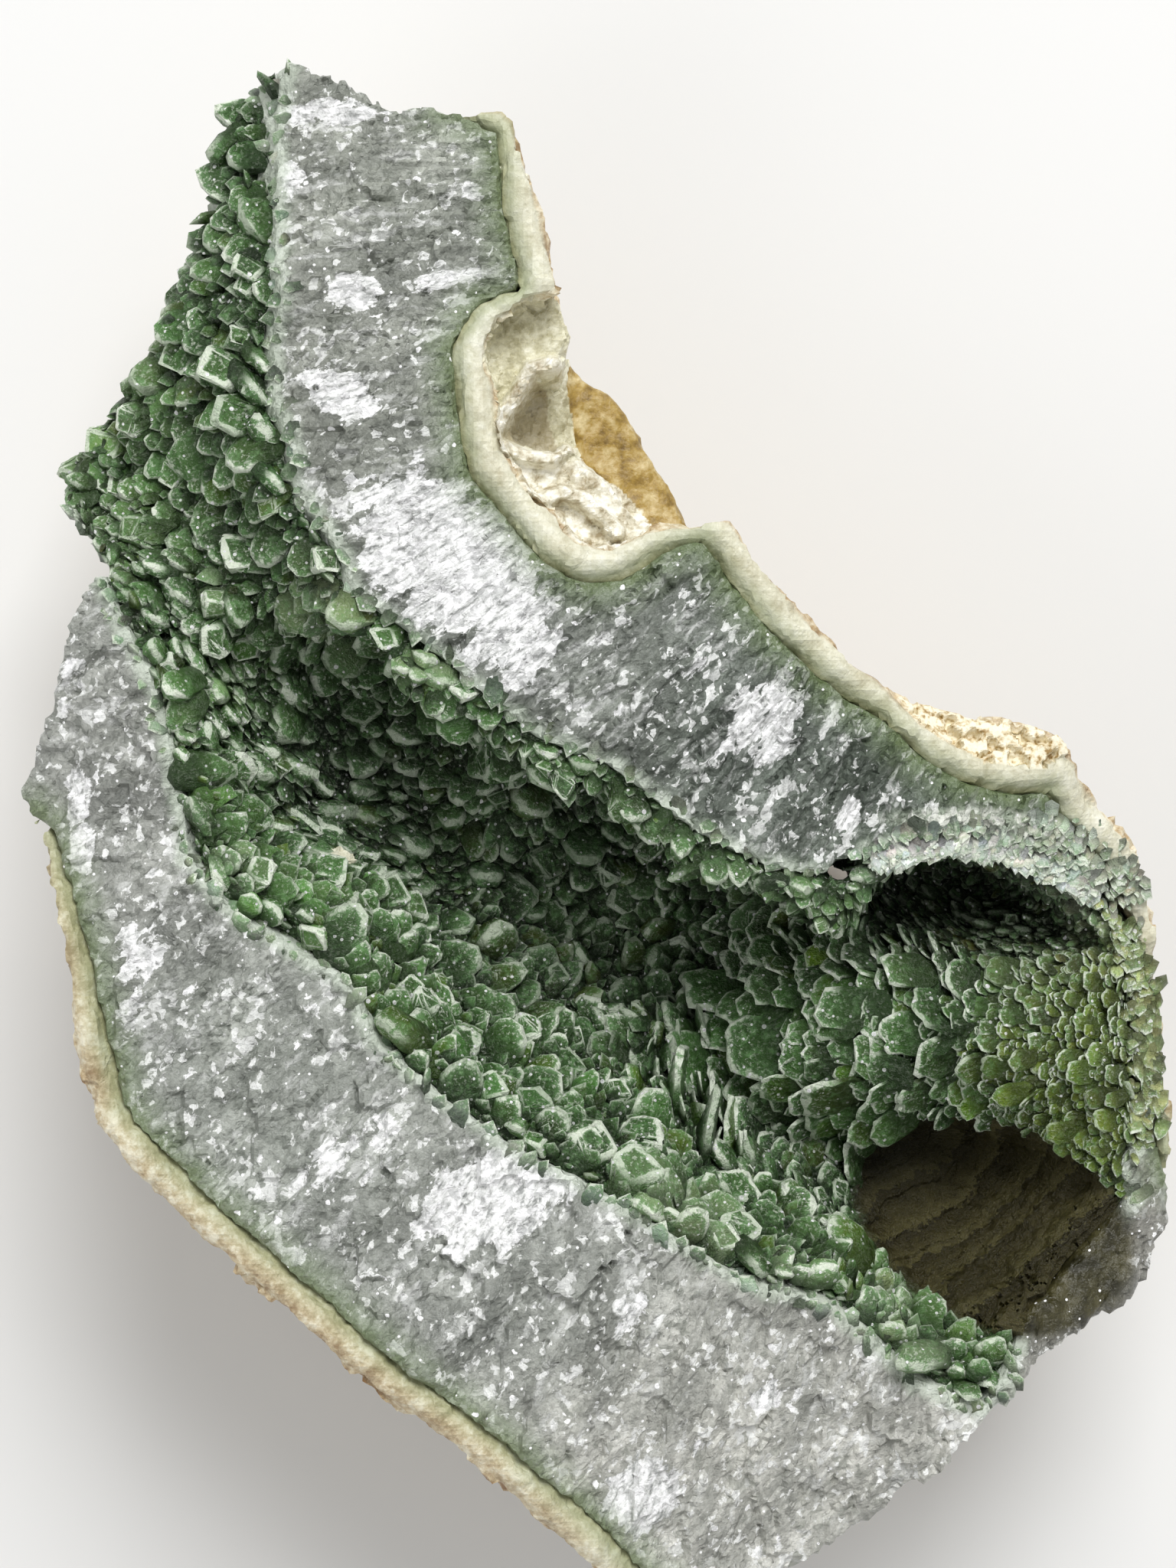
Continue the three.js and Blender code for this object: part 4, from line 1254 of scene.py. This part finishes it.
def make_crystals(stones, skin, border):
    """The crystals in the hollow: the large ones, small ones between them, and those along the edges."""
    material = crystal_material("crystals")
    blocks = [block_shape(40 + k) for k in range(8)]
    tiles = [tile_shape(50 + k) for k in range(10)]
    scales = [scale_shape(60 + k, 20) for k in range(8)]
    chips = [chip_shape(70 + k) for k in range(8)]
    flakes = [scale_shape(80 + k, 8) for k in range(6)]
    pieces = []

    def add(name, shapes, chosen, tilt, sink, wider=1.0):
        places, facing, values, widths = (part[chosen] for part in spots)
        widths = np.minimum(widths * wider, WIDEST if wider > 1 else WIDEST_BLOCK)
        values[:, LIFT] *= tilt
        if wider > 1:
            values[:, LIFT] += STEEP_LIFT * np.maximum(0, LEVEL - facing[:, 2])
        else:
            values[:, FLAT] = np.maximum(values[:, FLAT], THINNEST)
        places = places - facing * (sink * widths)[:, None]
        pieces.append(grow(name, stones, places, facing, values, widths, shapes, material))

    spots = scattered(skin, LARGE_TRIES, 1.0, 0.6)
    full = (lumps(spots[0], 3.5, 2) > BARE) | (spots[2][:, FLAT] < SCALY)
    spots = tuple(part[full] for part in spots)
    scaly = scales_in(spots)
    tiled = rng.uniform(size=len(scaly)) < TILE_SHARE
    add("scales_large", scales, scaly, 1.0, -0.1, 1.2)
    add("tiles_large", tiles, ~scaly & tiled, 0.75, 0.15)
    add("blocks_large", blocks, ~scaly & ~tiled, 1.0, 0.3)
    spots = scattered(skin, SMALL_TRIES, 0.42, 0.85)
    scaly = scales_in(spots)
    # The small crystals in the gaps are painted darker as shade
    spots[2][~scaly, TINT] *= GAP_PAINTED_SHADE
    spots[2][~scaly, RIM] *= GAP_FROST
    add("scales_small", flakes, scaly, 1.1, 0.0, 1.5)
    add("chips_small", chips, ~scaly, 0.8, 0.2)
    spots = border_spots(border, BORDER_TRIES)
    add("chips_border", chips, slice(None), 0.8, 0.2)
    edges = [edge_spots(stones, *line) for line in EDGE_LINES]
    spots = tuple(np.concatenate(parts) for parts in zip(*edges))
    add("chips_edges", chips, slice(None), 1.0, 0.0)
    return pieces


# The stage


def make_stage():
    """A pale floor, soft light from above, and the camera."""
    mesh = bpy.data.meshes.new("floor")
    corners = [(x * FLOOR_REACH, y * FLOOR_REACH, 0) for x, y in ((-1, -1), (1, -1), (1, 1), (-1, 1))]
    mesh.from_pydata(corners, [], [(0, 1, 2, 3)])
    mesh.materials.append(Shader("floor").finish({"Base Color": (0.8, 0.8, 0.79), "Roughness": 0.7}))
    floor = linked("floor", mesh)

    scene = bpy.context.scene
    scene.world = scene.world or bpy.data.worlds.new("world")
    scene.world.use_nodes = True
    sky = scene.world.node_tree.nodes["Background"].inputs
    sky["Color"].default_value = (*WHITE, 1)
    sky["Strength"].default_value = 0.46
    for name, at, size, power in (
        ("key", (0.25, 1.0, 1.2), 0.8, 22.0),
        ("fill", (-0.9, -0.7, 1.0), 1.0, 4.0),
    ):
        light = bpy.data.lights.new(name, "AREA")
        light.energy = power
        light.size = size
        lamp = linked(name, light)
        lamp.location = at
        lamp.rotation_euler = (-Vector(at)).to_track_quat("-Z", "Y").to_euler()

    camera = bpy.data.cameras.new("camera")
    camera.lens = LENS
    camera.sensor_width = SENSOR
    camera.clip_start = 0.01
    scene.camera = linked("camera", camera)
    scene.camera.location = [c * MM for c in CAMERA_AT]
    scene.view_settings.view_transform = "Standard"


main()
